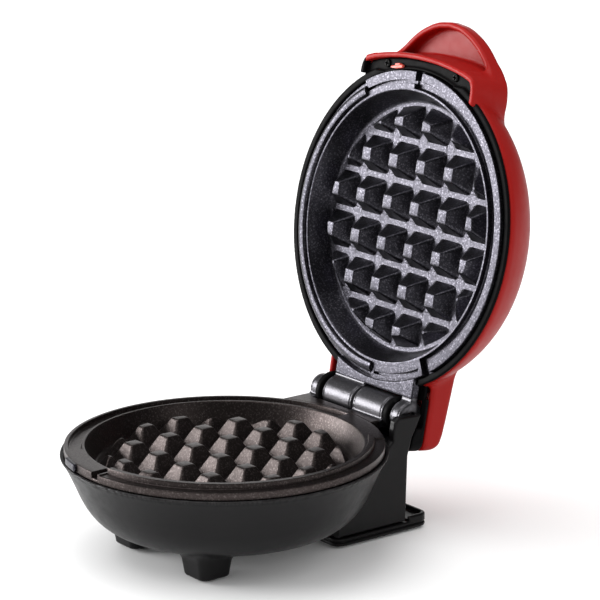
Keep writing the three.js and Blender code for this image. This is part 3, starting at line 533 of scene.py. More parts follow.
lip_half = smooth_line([(0, 64.9), (10, 64.5), (20, 63.2), (27.5, 61.5), (31.0, 60.0), (32.4, 57.6), (32.9, 54.0), (32.6, 50.0), (30.0, 45.0), (26.0, 41.0)], 1.0)
tab_half = smooth_line([(0, 77.9), (7, 76.9), (13.5, 74.2), (18.2, 71.2), (22.1, 67.8), (26.0, 63.8), (28.6, 60.0), (30.6, 54.6), (30.9, 50.0), (29.4, 45.2), (25.0, 40.0)], 1.2)
dome_line = smooth_line([(61.4, 2.6), (61.45, 4.3), (60.95, 6.4), (60.05, 9.2), (58.2, 13.26), (56.27, 16.35), (53.8, 19.3), (49.6, 22.75), (45.5, 24.9), (40.2, 26.5), (33, 27.65), (20, 28.2), (0, 28.35)], 0.9)
dome_line[:, 0] = np.minimum(dome_line[:, 0], 61.47)
in_line = smooth_line([(59.7, 2.2), (59.5, 5.4), (57.9, 8.4), (56.0, 12.2), (54.1, 15.2), (51.8, 17.9), (48.2, 21.1), (44.4, 23.1), (39.4, 24.7), (32.6, 25.7), (20, 26.2), (0, 26.4)], 1.2)
F_lip = Field2(mirrored(lip_half, 30))
F_tab = Field2(mirrored(tab_half, 30))
F_dome = Field2([(-6, 2.6)] + [tuple(p) for p in dome_line] + [(-6, 28.35)])
F_in = Field2([(-6, -6), (59.75, -6)] + [tuple(p) for p in in_line] + [(-6, 26.4)])
block = smooth_line([(40, 18.8), (48, 18.2), (60, 17.2), (70, 16.3), (75.5, 15.5), (78.8, 14.2), (80.6, 12.2), (81.3, 9.6), (81.4, 6.4)], 1.0)
F_block = Field2([(30, 6.4)] + [(30, 19.4)] + [tuple(p) for p in block])


def round_rect(x0, x1, y0, y1, r, n=8):
    out = []
    for cx, cy, a0 in ((x1 - r, y0 + r, -90), (x1 - r, y1 - r, 0), (x0 + r, y1 - r, 90), (x0 + r, y0 + r, 180)):
        for i in range(n + 1):
            a = math.radians(a0 + 90 * i / n)
            out.append((cx + r * math.cos(a), cy + r * math.sin(a)))
    return out


F_plan = Field2(round_rect(-27.9, 27.9, 10, 81.4, 4.5))


def lid_shell(x, y, w):
    r = np.hypot(x, y)
    v = -y
    dome = F_dome(r, w)
    lipf, tabf = F_lip(x, v), F_tab(x, v)
    lip = smax(lipf, slab(w, 0.0, 17.2), 1.0)
    tab = smax(smax(tabf, w - 19.9, 3.4), 12.9 - w, 0.9)
    blk = smax(smax(F_block(y, w), F_plan(x, y), 2.4), 6.4 - w, 0.6)
    out = smin(smin(smin(dome, lip, 3.0), tab, 3.6), blk, 3.0)
    out = smin(out, smax(smax(slab(x, -27.9, -25.6), slab(y, 52.0, 62.4), 0.5), slab(w, 2.4, 8.5), 0.5), 0.8)
    hollow = np.minimum(F_in(r, w), smax(lipf + 2.1, slab(w, -4, 14.8), 1.0))
    blk_in = smax(smax(F_block(y, w) + 1.8, F_plan(x, y) + 1.8, 1.6), -w - 4, 0.5)
    blk_low = smax(F_plan(x, y) + 1.8, slab(w, -4, 8.2), 0.5)
    blk_low = np.maximum(blk_low, 36 - y)
    keep = np.maximum(np.maximum(slab(x, -27.9, -26.0), slab(y, 52.0, 62.4)), slab(w, 2.4, 8.5))
    hollow = np.minimum(hollow, np.minimum(blk_in, blk_low))
    hollow = np.maximum(hollow, -keep)
    scoop = smax(smax(tabf + 2.2, w - 17.5, 1.2), -(lipf + 0.0), 0.7)
    s = smax(out, -hollow, 0.7)
    s = smax(s, -scoop, 0.7)
    # the lip's left end alone stops short of the parting plane and the black inner frame fills it there: a black piece
    # standing in for the shade on that end, with no match on the right
    shaded_left_end = np.maximum(np.maximum(30.2 + x, v - 60.0), w - 3.6)
    s = smax(s, -shaded_left_end, 0.4)
    for sx in (-1, 1):
        s = np.minimum(s, smax(np.hypot(x - sx * 19.5, y + 59.0) - 2.5, slab(w, 5.6, 15.5), 0.4))
        s = np.maximum(s, -smax(np.hypot(x - sx * 19.5, y + 59.0) - 1.25, slab(w, 5, 12), 0.2))
    s = np.maximum(s, -box_d(x, y, w, (-21.7, 24.7, 50, 62.5, -3, 3.8), 0.3))
    s = np.maximum(s, -rod_x(x, y, w, HY, HZ - P, 5.75, -32, -24.6, 0.2))
    s = smax(s, -post_z(x, y, w, 0, -30, 3.2, 20, 35, 0.2), 0.5)
    return s


H = 1.0      # coarser skins while trying things
made_field("lid_shell_skin", lid_shell, (-61.6, -78, -0.1), (61.6, 81.5, 28.6), 0.7 * H, to_lid, "lid", ["lid_shell"], RED)


# ---------------------------------------------------------------- lid frame
F_plan2 = Field2(round_rect(-27.6, 27.6, 10, 81.0, 4.3))
F_wall = Field2([(HY + a, b) for a, b in [(3.2, 2.0), (6.6, 0.85), (12.6, 0.75), (12.6, 6.1), (-7.9, 6.1), (-7.9, 4.8), (2.9, 4.8)]])


def lid_frame(x, y, w):
    r = np.hypot(x, y)
    v = -y
    lipf = F_lip(x, v)
    ring = np.minimum(smax(slab(r, 54.6, 59.6), slab(w, 3.8, 5.4), 0.4), smax(slab(r, 58.7, 59.6), slab(w, 2.0, 5.4), 0.2))
    cover = smax(slab(r, 58.7, 61.35), slab(w, 1.35, 2.55), 0.5)
    cover = np.maximum(cover, np.minimum(0.15 - lipf, v - 55.9))
    s = np.minimum(ring, cover)
    lip = smax(smax(lipf + 2.35, slab(w, 2.6, 5.2), 0.6), 59.2 - r, 0.4)
    lip = np.maximum(lip, 40 - v)
    s = smin(s, lip, 0.8)
    # black fill on the lip's left end only, standing in for the shade there
    shaded_left_end = smax(smax(lipf + 0.35, slab(w, 0.35, 3.55), 0.5), smax(30.5 + x, 59.5 - r, 0.5), 0.4)
    shaded_left_end = np.maximum(shaded_left_end, 53.6 - v)
    s = smin(s, shaded_left_end, 0.6)
    plan = F_plan2(x, y)
    deck = smax(smax(plan, slab(w, 4.8, 6.1), 0.5), 59.0 - r, 0.4)
    deck = np.maximum(deck, np.maximum(46 - y, np.minimum(60.5 - y, np.abs(x) - 25.9)))
    deck = np.maximum(deck, -np.minimum(0 * x + 1e3, np.maximum(np.abs(y - 50) - 10.5, 25.9 - np.abs(x))))
    wall = F_wall(y, w)
    side = smax(smax(wall, slab(np.abs(x), 25.0, 27.6), 0.6), plan, 0.5)
    back = smax(smax(slab(w, 0.75, 6.1), HY + 8.0 - y, 0.6), plan, 0.9)
    back = np.maximum(back, np.abs(x) - 27.6)
    s = np.minimum(np.minimum(s, deck), np.minimum(side, back))
    s = np.maximum(s, -box_d(x, y, w, (-24.7, 24.7, HY - 7.0, HY + 7.0, -10, 9), 0.3))
    s = np.maximum(s, -rod_x(x, y, w, HY, HZ - P, 7.0, -24.7, 24.7, 0.2))
    s = np.maximum(s, -rod_x(x, y, w, HY, HZ - P, 5.75, -32, -24.6, 0.2))
    s = np.maximum(s, -box_d(x, y, w, (-21.7, 24.7, 50, 62.0, -1, 3.79), 0.2))
    for x0, x1, rr in ((-24.35, -21.6, 7.5), (15.35, 18.05, 6.8)):
        lug = np.minimum(rod_x(x, y, w, HY, HZ - P, rr, x0, x1, 0.9), box_d(x, y, w, (x0, x1, HY - 7.6, HY + 8.4, 4.8, 6.1), 0.3))
        s = np.minimum(s, lug)
    s = smax(s, -(np.hypot(y - HY, w - (HZ - P)) - PIN_HOLE_R), 0.3)
    for sx in (-1, 1):
        s = np.maximum(s, -post_z(x, y, w, sx * 19.5, -59.0, 1.3, 0, 8, 0.2))
        s = np.maximum(s, -post_z(x, y, w, sx * 15, 77.9, 1.4, -2, 8, 0.2))
        s = smax(s, -post_z(x, y, w, sx * 15, 77.9, 2.3, -2, 2.6, 0.2), 0.3)
    return s


made_field("lid_frame_skin", lid_frame, (-61.5, -65, -6.3), (61.5, 81.2, 9.2), 0.55 * H, to_lid, "lid", ["lid_frame"], FRAME_BLACK_SHADED)


# ---------------------------------------------------------------- cooking plates
def plate_outline(cx, cy, w, x, y):
    """Signed size of a post's section at depth w: a rounded square trimmed by a cone."""
    up = DEPTH - w
    half = POST_HALF - POST_SLOPE * up + 0.20 * math.exp(-(up / 0.3))
    rad = np.interp(up, [0, 2.5, DEPTH - TOP], [2.3, 1.4, 0.55])
    qx, qy = np.abs(x - cx) - half + rad, np.abs(y - cy) - half + rad
    sq = np.hypot(np.maximum(qx, 0), np.maximum(qy, 0)) + np.minimum(np.maximum(qx, qy), 0) - rad
    rr = RING_R - POST_SLOPE * up + 0.20 * math.exp(-(up / 0.3))
    return smax(sq, np.hypot(x, y) - rr, 0.9)


def build_post(cx, cy):
    gx, gy = np.meshgrid(np.linspace(cx - 7, cx + 7, 57), np.linspace(cy - 7, cy + 7, 57))
    def low(w):
        d = plate_outline(cx, cy, w, gx, gy)
        k = d.argmin()
        return d.flat[k], gx.flat[k], gy.flat[k], d
    w_top = TOP
    if low(w_top)[0] > -0.55:
        a, b = TOP, DEPTH
        for _ in range(30):
            m = (a + b) / 2
            a, b = (a, m) if low(m)[0] < -0.42 else (m, b)
        w_top = b
    d_top = low(w_top)[3]
    inside = d_top < min(-0.05, d_top.min() * 0.6)
    ox, oy = gx[inside].mean(), gy[inside].mean()
    offs = [0.9, 2.4, 4.2, 6.5, 9.5, 13.5, 18.5, 25, 33, 42]
    ang = []
    for q in range(4):
        ang += [q * 90 + 45 - o for o in reversed(offs)] + [q * 90 + 45] + [q * 90 + 45 + o for o in offs]
    ang = np.radians(sorted(set(round(a, 3) for a in ang)))
    ux, uy = np.cos(ang), np.sin(ang)
    ups = [0, 0.12, 0.3, 0.6, 1.2, 2.2, 3.4, 4.8]
    top_up = DEPTH - w_top
    ups = [u for u in ups if u < top_up - 1.0] + [top_up - 0.75, top_up - 0.4]
    shrink = [0] * len(ups)
    ups += [top_up - 0.18, top_up - 0.05, top_up]
    shrink += [0.07, 0.22, 0.42]
    rings = []
    for u, sh in zip(ups, shrink):
        w = DEPTH - u
        a, b = np.zeros(len(ang)), np.full(len(ang), 13.0)
        sh = min(sh, -low(w)[0] * 0.55) if sh else 0
        for _ in range(26):
            m = (a + b) / 2
            ins = plate_outline(cx, cy, w, ox + ux * m, oy + uy * m) + sh < 0
            a, b = np.where(ins, m, a), np.where(ins, b, m)
        rings.append(np.stack([ox + ux * a, oy + uy * a, np.full(len(ang), w)], 1))
    return rings, (ox, oy, w_top)


def station_profiles(kind, lower):
    out = 0.5 if lower else 0.95
    k = {
        "groove": [(51.85, .1), (52.0, .3), (52.15, 1.85), (52.5, 2.2), (54.6, 2.2), (54.95, 1.85), (55.1, .3), (55.25, .1), (55.9, .1), (58.1, .1), (58.4, .25), (58.5, .65)],
        "wide_groove": [(51.85, .1), (51.97, .3), (52.08, 1.5), (52.35, 1.75), (56.3, 1.75), (56.75, 1.5), (56.9, .35), (57.05, .15), (57.4, .1), (58.1, .1), (58.4, .25), (58.5, .65)],
        "wide_tongue": [(51.85, .1), (52.0, .5), (52.15, .5), (52.3, -.6), (52.7, -1.1), (53.8, -1.35), (55.0, -1.1), (55.9, -.4), (56.5, .9), (56.7, 2.2), (58.3, 2.3), (58.5, 2.6)],
        "tongue": [(51.85, .1), (52.3, .12), (52.42, -1.2), (52.65, -1.5), (54.4, -1.5), (54.62, -1.2), (54.72, out - .2), (54.9, out), (55.9, out), (58.1, out), (58.4, out + .15), (58.5, out + .5)],
        "flat": [(51.85, .1), (52.3, .1), (52.9, .1), (53.5, .1), (54.1, .1), (54.6, .1), (55.1, .1), (55.5, .1), (56.4, .1), (58.1, .1), (58.4, .25), (58.5, .65)],
        "slot_in": [(51.85, .1), (52.3, .1), (52.9, .1), (53.5, .1), (53.66, .15), (53.74, 1.7), (54.8, 1.7), (54.88, .15), (55.9, .1), (58.1, .1), (58.4, .25), (58.5, .65)],
        "slot_out": [(51.85, .1), (52.3, .1), (52.9, .1), (53.9, .1), (55.0, .1), (55.3, .15), (55.38, 1.7), (56.4, 1.7), (56.48, .15), (58.1, .1), (58.4, .25), (58.5, .65)],
        "notch": [(51.85, .1), (52.0, .35), (52.12, 2.0), (52.4, 2.3), (53.6, 2.3), (54.6, 2.3), (55.1, 2.3), (55.5, 2.3), (56.4, 2.3), (58.1, 2.3), (58.4, 2.4), (58.5, 2.6)],
    }[kind]
    wall = [(46.25, DEPTH), (46.75, DEPTH - .02), (47.2, DEPTH - .16), (47.55, DEPTH - .45), (47.8, DEPTH - .95), (48.5, 6.2), (49.4, 4.0), (50.3, 1.8), (50.72, .78), (50.9, .36), (51.08, .16), (51.3, .1)]
    under = [(58.5, 3.2), (58.3, 3.4), (54.2, 3.4), (53.7, 3.7), (49.9, 10.7), (49.4, DEPTH + 2.5), (0.0, DEPTH + 2.5)]
    return wall + k + under


def build_plate(lower):
    if lower:
        kinds = [(0.0, 3.5, "notch"), (3.5, 4.6, "flat"), (4.6, 145.8, "tongue"), (145.8, 179.0, "flat"), (179.0, 332.0, "wide_groove"), (332.0, 360.0, "flat")]
    else:
        kinds = [(0.0, 3.5, "notch"), (3.5, 147.0, "groove"), (147.0, 151.0, "notch"), (151.0, 153.0, "flat"), (153.0, 179.0, "slot_out"),
                 (179.0, 180.5, "flat"), (180.5, 331.0, "wide_tongue"), (331.0, 360.0, "slot_in")]
    stations = []
    for a0, a1, kind in kinds:
        n = max(1, int(round((a1 - a0) / 2.0)))
        for i in range(n + 1):
            a = a0 + (a1 - a0) * i / n
            a += 0.10 if i == 0 else (-0.10 if i == n else 0)
            stations.append((a, kind))
    pts, faces = [], []
    m = len(station_profiles("flat", lower)) - 1
    for a, kind in stations:
        t = math.radians(a)
        for r, w in station_profiles(kind, lower)[:-1]:
            pts.append((r * math.sin(t), -r * math.cos(t), w))
    ns = len(stations)
    bottom = len(pts)
    pts.append((0, 0, DEPTH + 2.5))
    for i in range(ns):
        j = (i + 1) % ns
        for k in range(m - 1):
            faces.append((i * m + k, j * m + k, j * m + k + 1, i * m + k + 1))
        faces.append((i * m + m - 1, j * m + m - 1, bottom))
    ring_ids = [i * m for i in range(ns)]
    flat_pts = [(pts[i][0], pts[i][1]) for i in ring_ids]
    flat_ids = list(ring_ids)
    edges = [(i, (i + 1) % ns) for i in range(ns)]
    posts = []
    for i in range(6):
        for j in range(6):
            if i in (0, 5) and j in (0, 5):
                continue
            cx, cy = (i - 2.5) * PITCH, (j - 2.5) * PITCH
            rings, (ox, oy, wt) = build_post(cx, cy)
            posts.append((cx, cy))
            start = len(pts)
            n = len(rings[0])
            for ring in rings:
                pts += [tuple(p) for p in ring]
            cap = len(pts)
            pts.append((ox, oy, wt))
            for k in range(len(rings) - 1):
                for q in range(n):
                    q1 = (q + 1) % n
                    faces.append((start + k * n + q, start + (k + 1) * n + q, start + (k + 1) * n + q1, start + k * n + q1))
            last = start + (len(rings) - 1) * n
            for q in range(n):
                faces.append((last + q, cap, last + (q + 1) % n))
            base = len(flat_pts)
            flat_pts += [(pts[start + q][0], pts[start + q][1]) for q in range(n)]
            flat_ids += [start + q for q in range(n)]
            edges += [(base + q, base + (q + 1) % n) for q in range(n)]
    res = delaunay_2d_cdt([Vector(p) for p in flat_pts], edges, [], 0, 1e-6)
    v2, f2, orig = res[0], res[2], res[3]
    where = [flat_ids[o[0]] if o else -1 for o in orig]
    if min(where) < 0:
        raise RuntimeError("the plate floor gained a point")
    pc = np.array(posts)
    for f in f2:
        c = sum((Vector(v2[i]) for i in f), Vector((0, 0))) / 3
        if c.length > 46.25:
            continue
        k = ((pc - [c.x, c.y]) ** 2).sum(1).argmin()
        if plate_outline(pc[k][0], pc[k][1], DEPTH, np.array([c.x]), np.array([c.y]))[0] < 0:
            continue
        tri = [where[i] for i in f]
        a, b, d = (pts[i] for i in tri)
        if (b[0] - a[0]) * (d[1] - a[1]) - (b[1] - a[1]) * (d[0] - a[0]) > 0:
            tri.reverse()
        faces.append(tuple(tri))
    p = np.array(pts, float)
    # faces above were wound for depth pointing away from the cook's side
    if lower:
        p[:, 2] = P - p[:, 2]
    else:
        faces = [tuple(reversed(f)) for f in faces]
    return p, faces


def outward(pts, faces):
    """Flips all faces if the mesh's volume is negative."""
    v = 0.0
    for f in faces:
        a = pts[f[0]]
        for i in range(1, len(f) - 1):
            v += float(np.dot(a, np.cross(pts[f[i]], pts[f[i + 1]])))
    return faces if v > 0 else [tuple(reversed(f)) for f in faces]


for lower in (True, False):
    pts, faces = build_plate(lower)
    faces = outward(pts, faces)
    name = "lower_plate_grid" if lower else "upper_plate_grid"
    make(name, pts, faces, to_base if lower else to_lid, "base" if lower else "lid", ["lower_plate" if lower else "upper_plate"],
         COAT_LOW if lower else COAT, weighted=True, sharp=38)


def upper_hinge(x, y, w):
    r = np.hypot(x, y)
    fl = smax(box_d(x, y, w, (-21.3, 24.3, 44, 61.3, 0.1, 3.4), 0.7), 58.2 - r, 0.3)
    return np.maximum(fl, -(np.hypot(y - HY, w - (HZ - P)) - 4))


def upper_barrels(x, y, w):
    s = np.full(x.shape, 50.0)
    for x0, x1, rr in ((-21.3, -3.4, 6.5), (18.4, 24.3, 6.0)):
        rod = rod_x(x, y, w, HY, HZ - P, rr, x0, x1, 1.1)
        rod = smax(rod, -np.maximum(slab(np.abs(x - (x0 + x1) / 2), (x1 - x0) / 2 - 1.35, (x1 - x0) / 2 - 0.95), rr - 0.28 - np.hypot(y - HY, w - (HZ - P))), 0.15)
        k = smin(rod, box_d(x, y, w, (x0, x1, 60.2, HY - 2.4, 0.25, 3.4), 0.6), 1.0)
        s = np.minimum(s, k)
    return smax(s, -(np.hypot(y - HY, w - (HZ - P)) - PIN_HOLE_R), 0.3)


def lower_hinge(x, y, z):
    r = np.hypot(x, y)
    z0, z1 = P - 3.4, P - 0.1
    fl = smax(box_d(x, y, z, (-30.2, 15.0, 44, 61.3, z0, z1), 0.7), 58.2 - r, 0.3)
    fl = np.maximum(fl, -box_d(x, y, z, (-24.6, -21.3, 60.3, 64, 30, 45), 0.2))
    return np.maximum(fl, -(np.hypot(y - HY, z - HZ) - 4))


def lower_barrels(x, y, z):
    z0, z1 = P - 3.4, P - 0.1
    s = np.full(x.shape, 50.0)
    for x0, x1, rr in ((-2.9, 15.0, 6.5), (-30.2, -24.7, 5.3)):
        rod = rod_x(x, y, z, HY, HZ, rr, x0, x1, 1.1)
        rod = smax(rod, -np.maximum(slab(np.abs(x - (x0 + x1) / 2), (x1 - x0) / 2 - 1.35, (x1 - x0) / 2 - 0.95), rr - 0.28 - np.hypot(y - HY, z - HZ)), 0.15)
        k = smin(rod, box_d(x, y, z, (x0, x1, 60.2, HY - 2.4, z0, z1), 0.6), 1.0)
        s = np.minimum(s, k)
    return smax(s, -(np.hypot(y - HY, z - HZ) - PIN_HOLE_R), 0.3)


made_field("upper_plate_flange", upper_hinge, (-21.5, 47, 0), (24.5, 62, 3.6), 0.45 * H, to_lid, "lid", ["upper_plate"], COAT)
made_field("lower_plate_flange", lower_hinge, (-30.4, 47, 37.3), (15.2, 62, 41.0), 0.45 * H, to_base, "base", ["lower_plate"], COAT_LOW)
made_field("upper_plate_barrels", upper_barrels, (-21.5, 60, -5.4), (24.5, 75, 8.2), 0.36 * H, to_lid, "lid", ["upper_plate"], BARREL_PAINTED_LIGHTER)
made_field("lower_plate_barrels", lower_barrels, (-30.4, 60, 35.6), (15.2, 75, 49.0), 0.36 * H, to_base, "base", ["lower_plate"], BARREL_PAINTED_LIGHTER)


def lower_tab(x, y, z):
    r = np.hypot(x, y)
    a = np.degrees(np.arctan2(x, -y))
    return smax(smax(slab(r, 57.6, 59.7), slab(a, -20.0, -10.5) * 1.02, 0.6), slab(z, P - 3.1, P - 0.25), 0.6)


made_field("lower_plate_tab", lower_tab, (-21.5, -60, 37.6), (-9.5, -53, 40.8), 0.3 * H, to_base, "base", ["lower_plate"], COAT)


# ---------------------------------------------------------------- lower housing
bowl_line = smooth_line([(34, 9.62), (39, 10.3), (43.2, 11.8), (46.8, 14.1), (49.6, 17), (51.8, 20.2), (53.6, 23.8), (55.4, 28), (57.2, 32), (58.8, 35.2), (59.3, 36.0)], 0.9)
rim = [(59.15, 36.25), (59.2, 36.5), (59.75, 36.62), (59.98, 36.85), (60.0, 37.25), (59.8, 37.55), (59.2, 37.6)]
F_bowl = Field2([(-6, 9.6)] + [tuple(p) for p in bowl_line] + rim + [(-6, 37.6)])
F_bowl_cut = Field2([(-6, 9.6)] + [tuple(p) for p in bowl_line] + [(61, 39), (63, 60), (-6, 60)])
F_bowl_in = Field2([(-6, 50), (58.9, 50), (58.75, 37.3), (57.2, 37.0), (56.4, 35.0), (53.4, 29.0), (51.0, 23.4), (48.4, 18.9), (44.6, 15.4), (40.4, 13.0), (34, 11.8), (-6, 11.8)])
BOSS = [(22 * math.sin(math.radians(a)), -22 * math.cos(math.radians(a))) for a in (0, 120, 240)]


def lower_housing(x, y, z):
    r = np.hypot(x, y)
    s = F_bowl(r, z)
    for sx in (-1, 1):
        t = np.clip((z - 0.9) / 16.1, 0, 1)
        half = 6.3 + 2.3 * t
        rad = 2.4 * half / 6.3
        qx, qy = np.abs(x - sx * 21.6) - half + rad, np.abs(y + 24.2) - half + rad
        sq = np.hypot(np.maximum(qx, 0), np.maximum(qy, 0)) + np.minimum(np.maximum(qx, qy), 0) - rad
        leg = smax(sq * 0.99, slab(z, 0.9, 17), 0.9)
        s = smin(s, leg, 3.2)
    s = smax(s, -F_bowl_in(r, z), 0.5)
    for cx, cy in BOSS:
        s = np.minimum(s, post_z(x, y, z, cx, cy, 4.3, 11.2, 23.4, 0.4))
        s = np.maximum(s, -post_z(x, y, z, cx, cy, 1.8, 8, 24, 0.2))
        s = smax(s, -post_z(x, y, z, cx, cy, 3.4, 6, 13.2, 0.2), 0.6)
    for sx in (-1, 1):
        s = smax(s, -post_z(x, y, z, sx * 21.6, -24.2, 4.9, -2, 2.1, 0.2), 0.4)
        s = np.maximum(s, -np.maximum(np.hypot(x - sx * 14.5, z - 24.5) - 1.75, slab(y, 40, 60)))
    s = np.maximum(s, -np.maximum(np.hypot(x, z - 18.2) - 6.0, slab(y, 40, 60)))
    return np.maximum(s, -box_d(x, y, z, (-30.6, 15.4, 44, 64, 36.9, 42), 0.2))


made_field("lower_housing_skin", lower_housing, (-60.2, -60.2, 0.8), (60.2, 60.2, 37.8), 0.75 * H, to_base, "base", ["lower_housing"], BLACK)


# ---------------------------------------------------------------- rear column
F_col = Field2([(31, 4.1), (63.3, 4.1), (64.1, 29.5), (66.0, 36.0), (70.6, 44.4), (59.4, 44.9), (57.9, 43.6), (57.2, 40.5), (57.0, 36.5), (53.5, 33.5), (31, 22)])


def rear_stand(x, y, z):
    r = np.hypot(x, y)
    s = smax(F_col(y, z), slab(x, -27.8, 27.8), 0.8)
    bowl = F_bowl_cut(r, z)
    s = smax(s, -(bowl - 0.4), 0.5)
    s = smax(s, -box_d(x, y, z, (-24.6, 24.6, 50, 80, 34.1, 52), 0.8), 0.7)
    s = smax(s, -box_d(x, y, z, (-32, -24.0, 50, 80, 36.3, 52), 0.4), 0.8)
    room = np.maximum(box_d(x, y, z, (-25.3, 25.3, 33.4, 61.4, -3, 31.2), 0.6), -(bowl - 2.9))
    s = np.maximum(s, -room)
    for sx in (-1, 1):
        s = np.minimum(s, box_d(x, y, z, (min(sx * 19.8, sx * 25.8), max(sx * 19.8, sx * 25.8), 55, 60.6, 4.1, 15), 0.3))
        s = np.minimum(s, box_d(x, y, z, (min(sx * 20.2, sx * 25.8), max(sx * 20.2, sx * 25.8), 34.4, 40.4, 4.1, 8.3), 0.3))
        s = np.maximum(s, -post_z(x, y, z, sx * 22.4, 57.8, 1.6, 3, 13, 0.1))
        s = np.maximum(s, -post_z(x, y, z, sx * 22.4, 37.4, 1.6, 3, 7.4, 0.1))
        s = np.maximum(s, -np.maximum(np.hypot(x - sx * 14.5, z - 24.5) - 1.75, slab(y, 40, 60)))
    s = np.maximum(s, -np.maximum(np.hypot(x, z - 18.2) - 6.0, slab(y, 40, 58)))
    s = smax(s, -np.maximum(np.hypot(x, z - 14) - 4.7, slab(y, 58, 72)), 0.5)
    return np.maximum(s, -rod_x(x, y, z, HY, HZ, PIN_HOLE_R, 20, 26.9, 0.1))


made_field("rear_stand_skin", rear_stand, (-28, 30.8, 4.0), (28, 71.4, 45.2), 0.5 * H, to_base, "base", ["rear_stand"], BLACK)

F_cover = Field2(round_rect(-28.6, 28.6, 30, 74, 4.0))


def base_cover(x, y, z):
    c = F_cover(x, y)
    s = smax(c, slab(z, 0.7, 5.8), 0.9)
    s = smax(s, -box_d(x, y, z, (-40, 40, 20, 64.4, 3.8, 12), 0.3), 0.5)
    s = smax(s, -smax(smax(c + 1.5, 4.4 - z, 0.6), 54 - y, 0.3), 0.4)
    s = smax(s, -smax(-(c + 0.55), slab(z, 2.1, 2.75), 0.2), 0.35)
    for sx in (-1, 1):
        for yy in (37.4, 57.8):
            s = np.maximum(s, -post_z(x, y, z, sx * 22.4, yy, 1.7, 0, 6, 0.1))
            s = smax(s, -post_z(x, y, z, sx * 22.4, yy, 3.2, -1, 2.3, 0.2), 0.4)
        s = smax(s, -post_z(x, y, z, sx * 21, 67.6, 4.4, -1, 2.0, 0.2), 0.4)
    return s


made_field("stand_base_cover_skin", base_cover, (-28.8, 29.8, 0.5), (28.8, 74.2, 6.0), 0.42 * H, to_base, "base", ["stand_base_cover"], BLACK)


# ---------------------------------------------------------------- fasteners, feet and small pieces
def screw_field(head_r, head_h, shank_r, length, ext=0.0):
    def f(x, y, z):
        r = np.hypot(x, y)
        head = smax(smax(r - head_r, slab(z, 0, head_h), 0.5), (r + (head_h * 1.2 - z) * 0.0) - head_r, 0.3)
        dome = r * r / (head_r * 4.2) - z
        head = smax(head, dome, 0.3)
        shank = np.maximum(r - shank_r, slab(z, head_h - 0.4, head_h + length))
        s = np.minimum(head, shank)
        w = head_r * 0.17
        reach = head_r * 0.62
        cross = np.minimum(np.maximum(np.abs(x) - w, np.abs(y) - reach), np.maximum(np.abs(y) - w, np.abs(x) - reach))
        deep = np.maximum(cross + np.maximum(z, 0) * 0.25, z - min(1.2, head_h * 0.8))
        return smax(s, -deep, 0.12)
    return f


def screws(nodes, body, place, head_r, head_h, shank_r, length, spots, axis="z", finish=None):
    h = head_r * 0.075 * H
    pts, quads = contour(screw_field(head_r, head_h, shank_r, length), (-head_r, -head_r, 0), (head_r, head_r, head_h + length), max(h, 0.13), 2)
    for node, at in zip(nodes, spots):
        p = turn_to(pts, axis, at)
        faces = outward(p, quads) if False else quads
        make(node + "_head", p, faces, place, body, [node], finish or STEEL)


screws([f"lower_plate_screw_{n}" for n in ("front", "right", "left")], "base", to_base, 3.0, 1.5, 1.4, 13.6, [(x, y, 11.4) for x, y in BOSS])
screws([f"base_cover_screw_{k}" for k in (1, 2)], "base", to_base, 2.8, 1.1, 1.25, 5.0, [(sx * 22.4, 37.4, 0.9) for sx in (-1, 1)])
screws([f"base_cover_screw_{k}" for k in (3, 4)], "base", to_base, 2.8, 1.1, 1.25, 9.6, [(sx * 22.4, 57.8, 0.9) for sx in (-1, 1)])
screws(["lid_rear_screw_left", "lid_rear_screw_right"], "lid", to_lid, 1.95, 1.15, 1.05, 7.4, [(sx * 15, 77.9, 1.15) for sx in (-1, 1)])
screws(["lid_front_screw_left", "lid_front_screw_right"], "lid", to_lid, 1.7, 1.2, 0.95, 7.6, [(sx * 19.5, -59.0, 1.7) for sx in (-1, 1)], finish=DARK_STEEL)


def feet(nodes, r0, r1, h, spots):
    def f(x, y, z):
        r = np.hypot(x, y)
        s = smax(r - (r0 + (r1 - r0) * z / h), slab(z, 0, h), 0.7)
        return smax(s, -np.maximum(slab(r, r0 * 0.45, r0 * 0.62), z - 0.35), 0.3)
    pts, quads = contour(f, (-r1, -r1, 0), (r1, r1, h), 0.24 * H, 2)
    pts[:, 2] = np.clip(pts[:, 2], 0, h)
    for node, (cx, cy) in zip(nodes, spots):
        make(node + "_disc", pts + [cx, cy, 0], quads, to_base, "base", [node], RUBBER)


feet(["front_foot_pad_left", "front_foot_pad_right"], 4.3, 4.6, 1.7, [(-21.6, -24.2), (21.6, -24.2)])
feet(["rear_foot_pad_left", "rear_foot_pad_right"], 3.9, 4.1, 1.6, [(-21, 67.6), (21, 67.6)])

p, f = lathe([(2.65, -1.6), (5.2, -1.6), (5.4, -1.4), (5.4, -0.2), (5.2, 0.05), (4.5, 0.3), (4.3, 0.6), (4.3, 3.2), (4.5, 3.35), (6.1, 3.35), (6.35, 3.55), (6.4, 3.8),
              (6.38, 4.4), (6.1, 4.85), (5.4, 5.3), (4.6, 5.39), (3.4, 5.39), (2.9, 5.2), (2.65, 4.8)], 64)
p = p[:, [0, 2, 1]] * [1, 1, 1] + [0, 61.0, 14.0]
make("cord_gland_ring", p, outward(p, f), to_base, "base", ["cord_gland"], RUBBER, sharp=50)

p, f = lathe([(0, 24.4), (3.9, 24.4), (4.0, 24.5), (4.0, 25.4), (3.9, 25.5), (2.95, 25.5), (2.85, 25.6), (2.85, 28.9), (2.7, 29.25), (2.35, 29.5), (1.8, 29.68), (1.0, 29.78), (0, 29.8)], 48)
p = p + [0, -30, 0]
make("indicator_lens_dome", p, outward(p, f), to_lid, "lid", ["indicator_lens"], LENS, sharp=50)


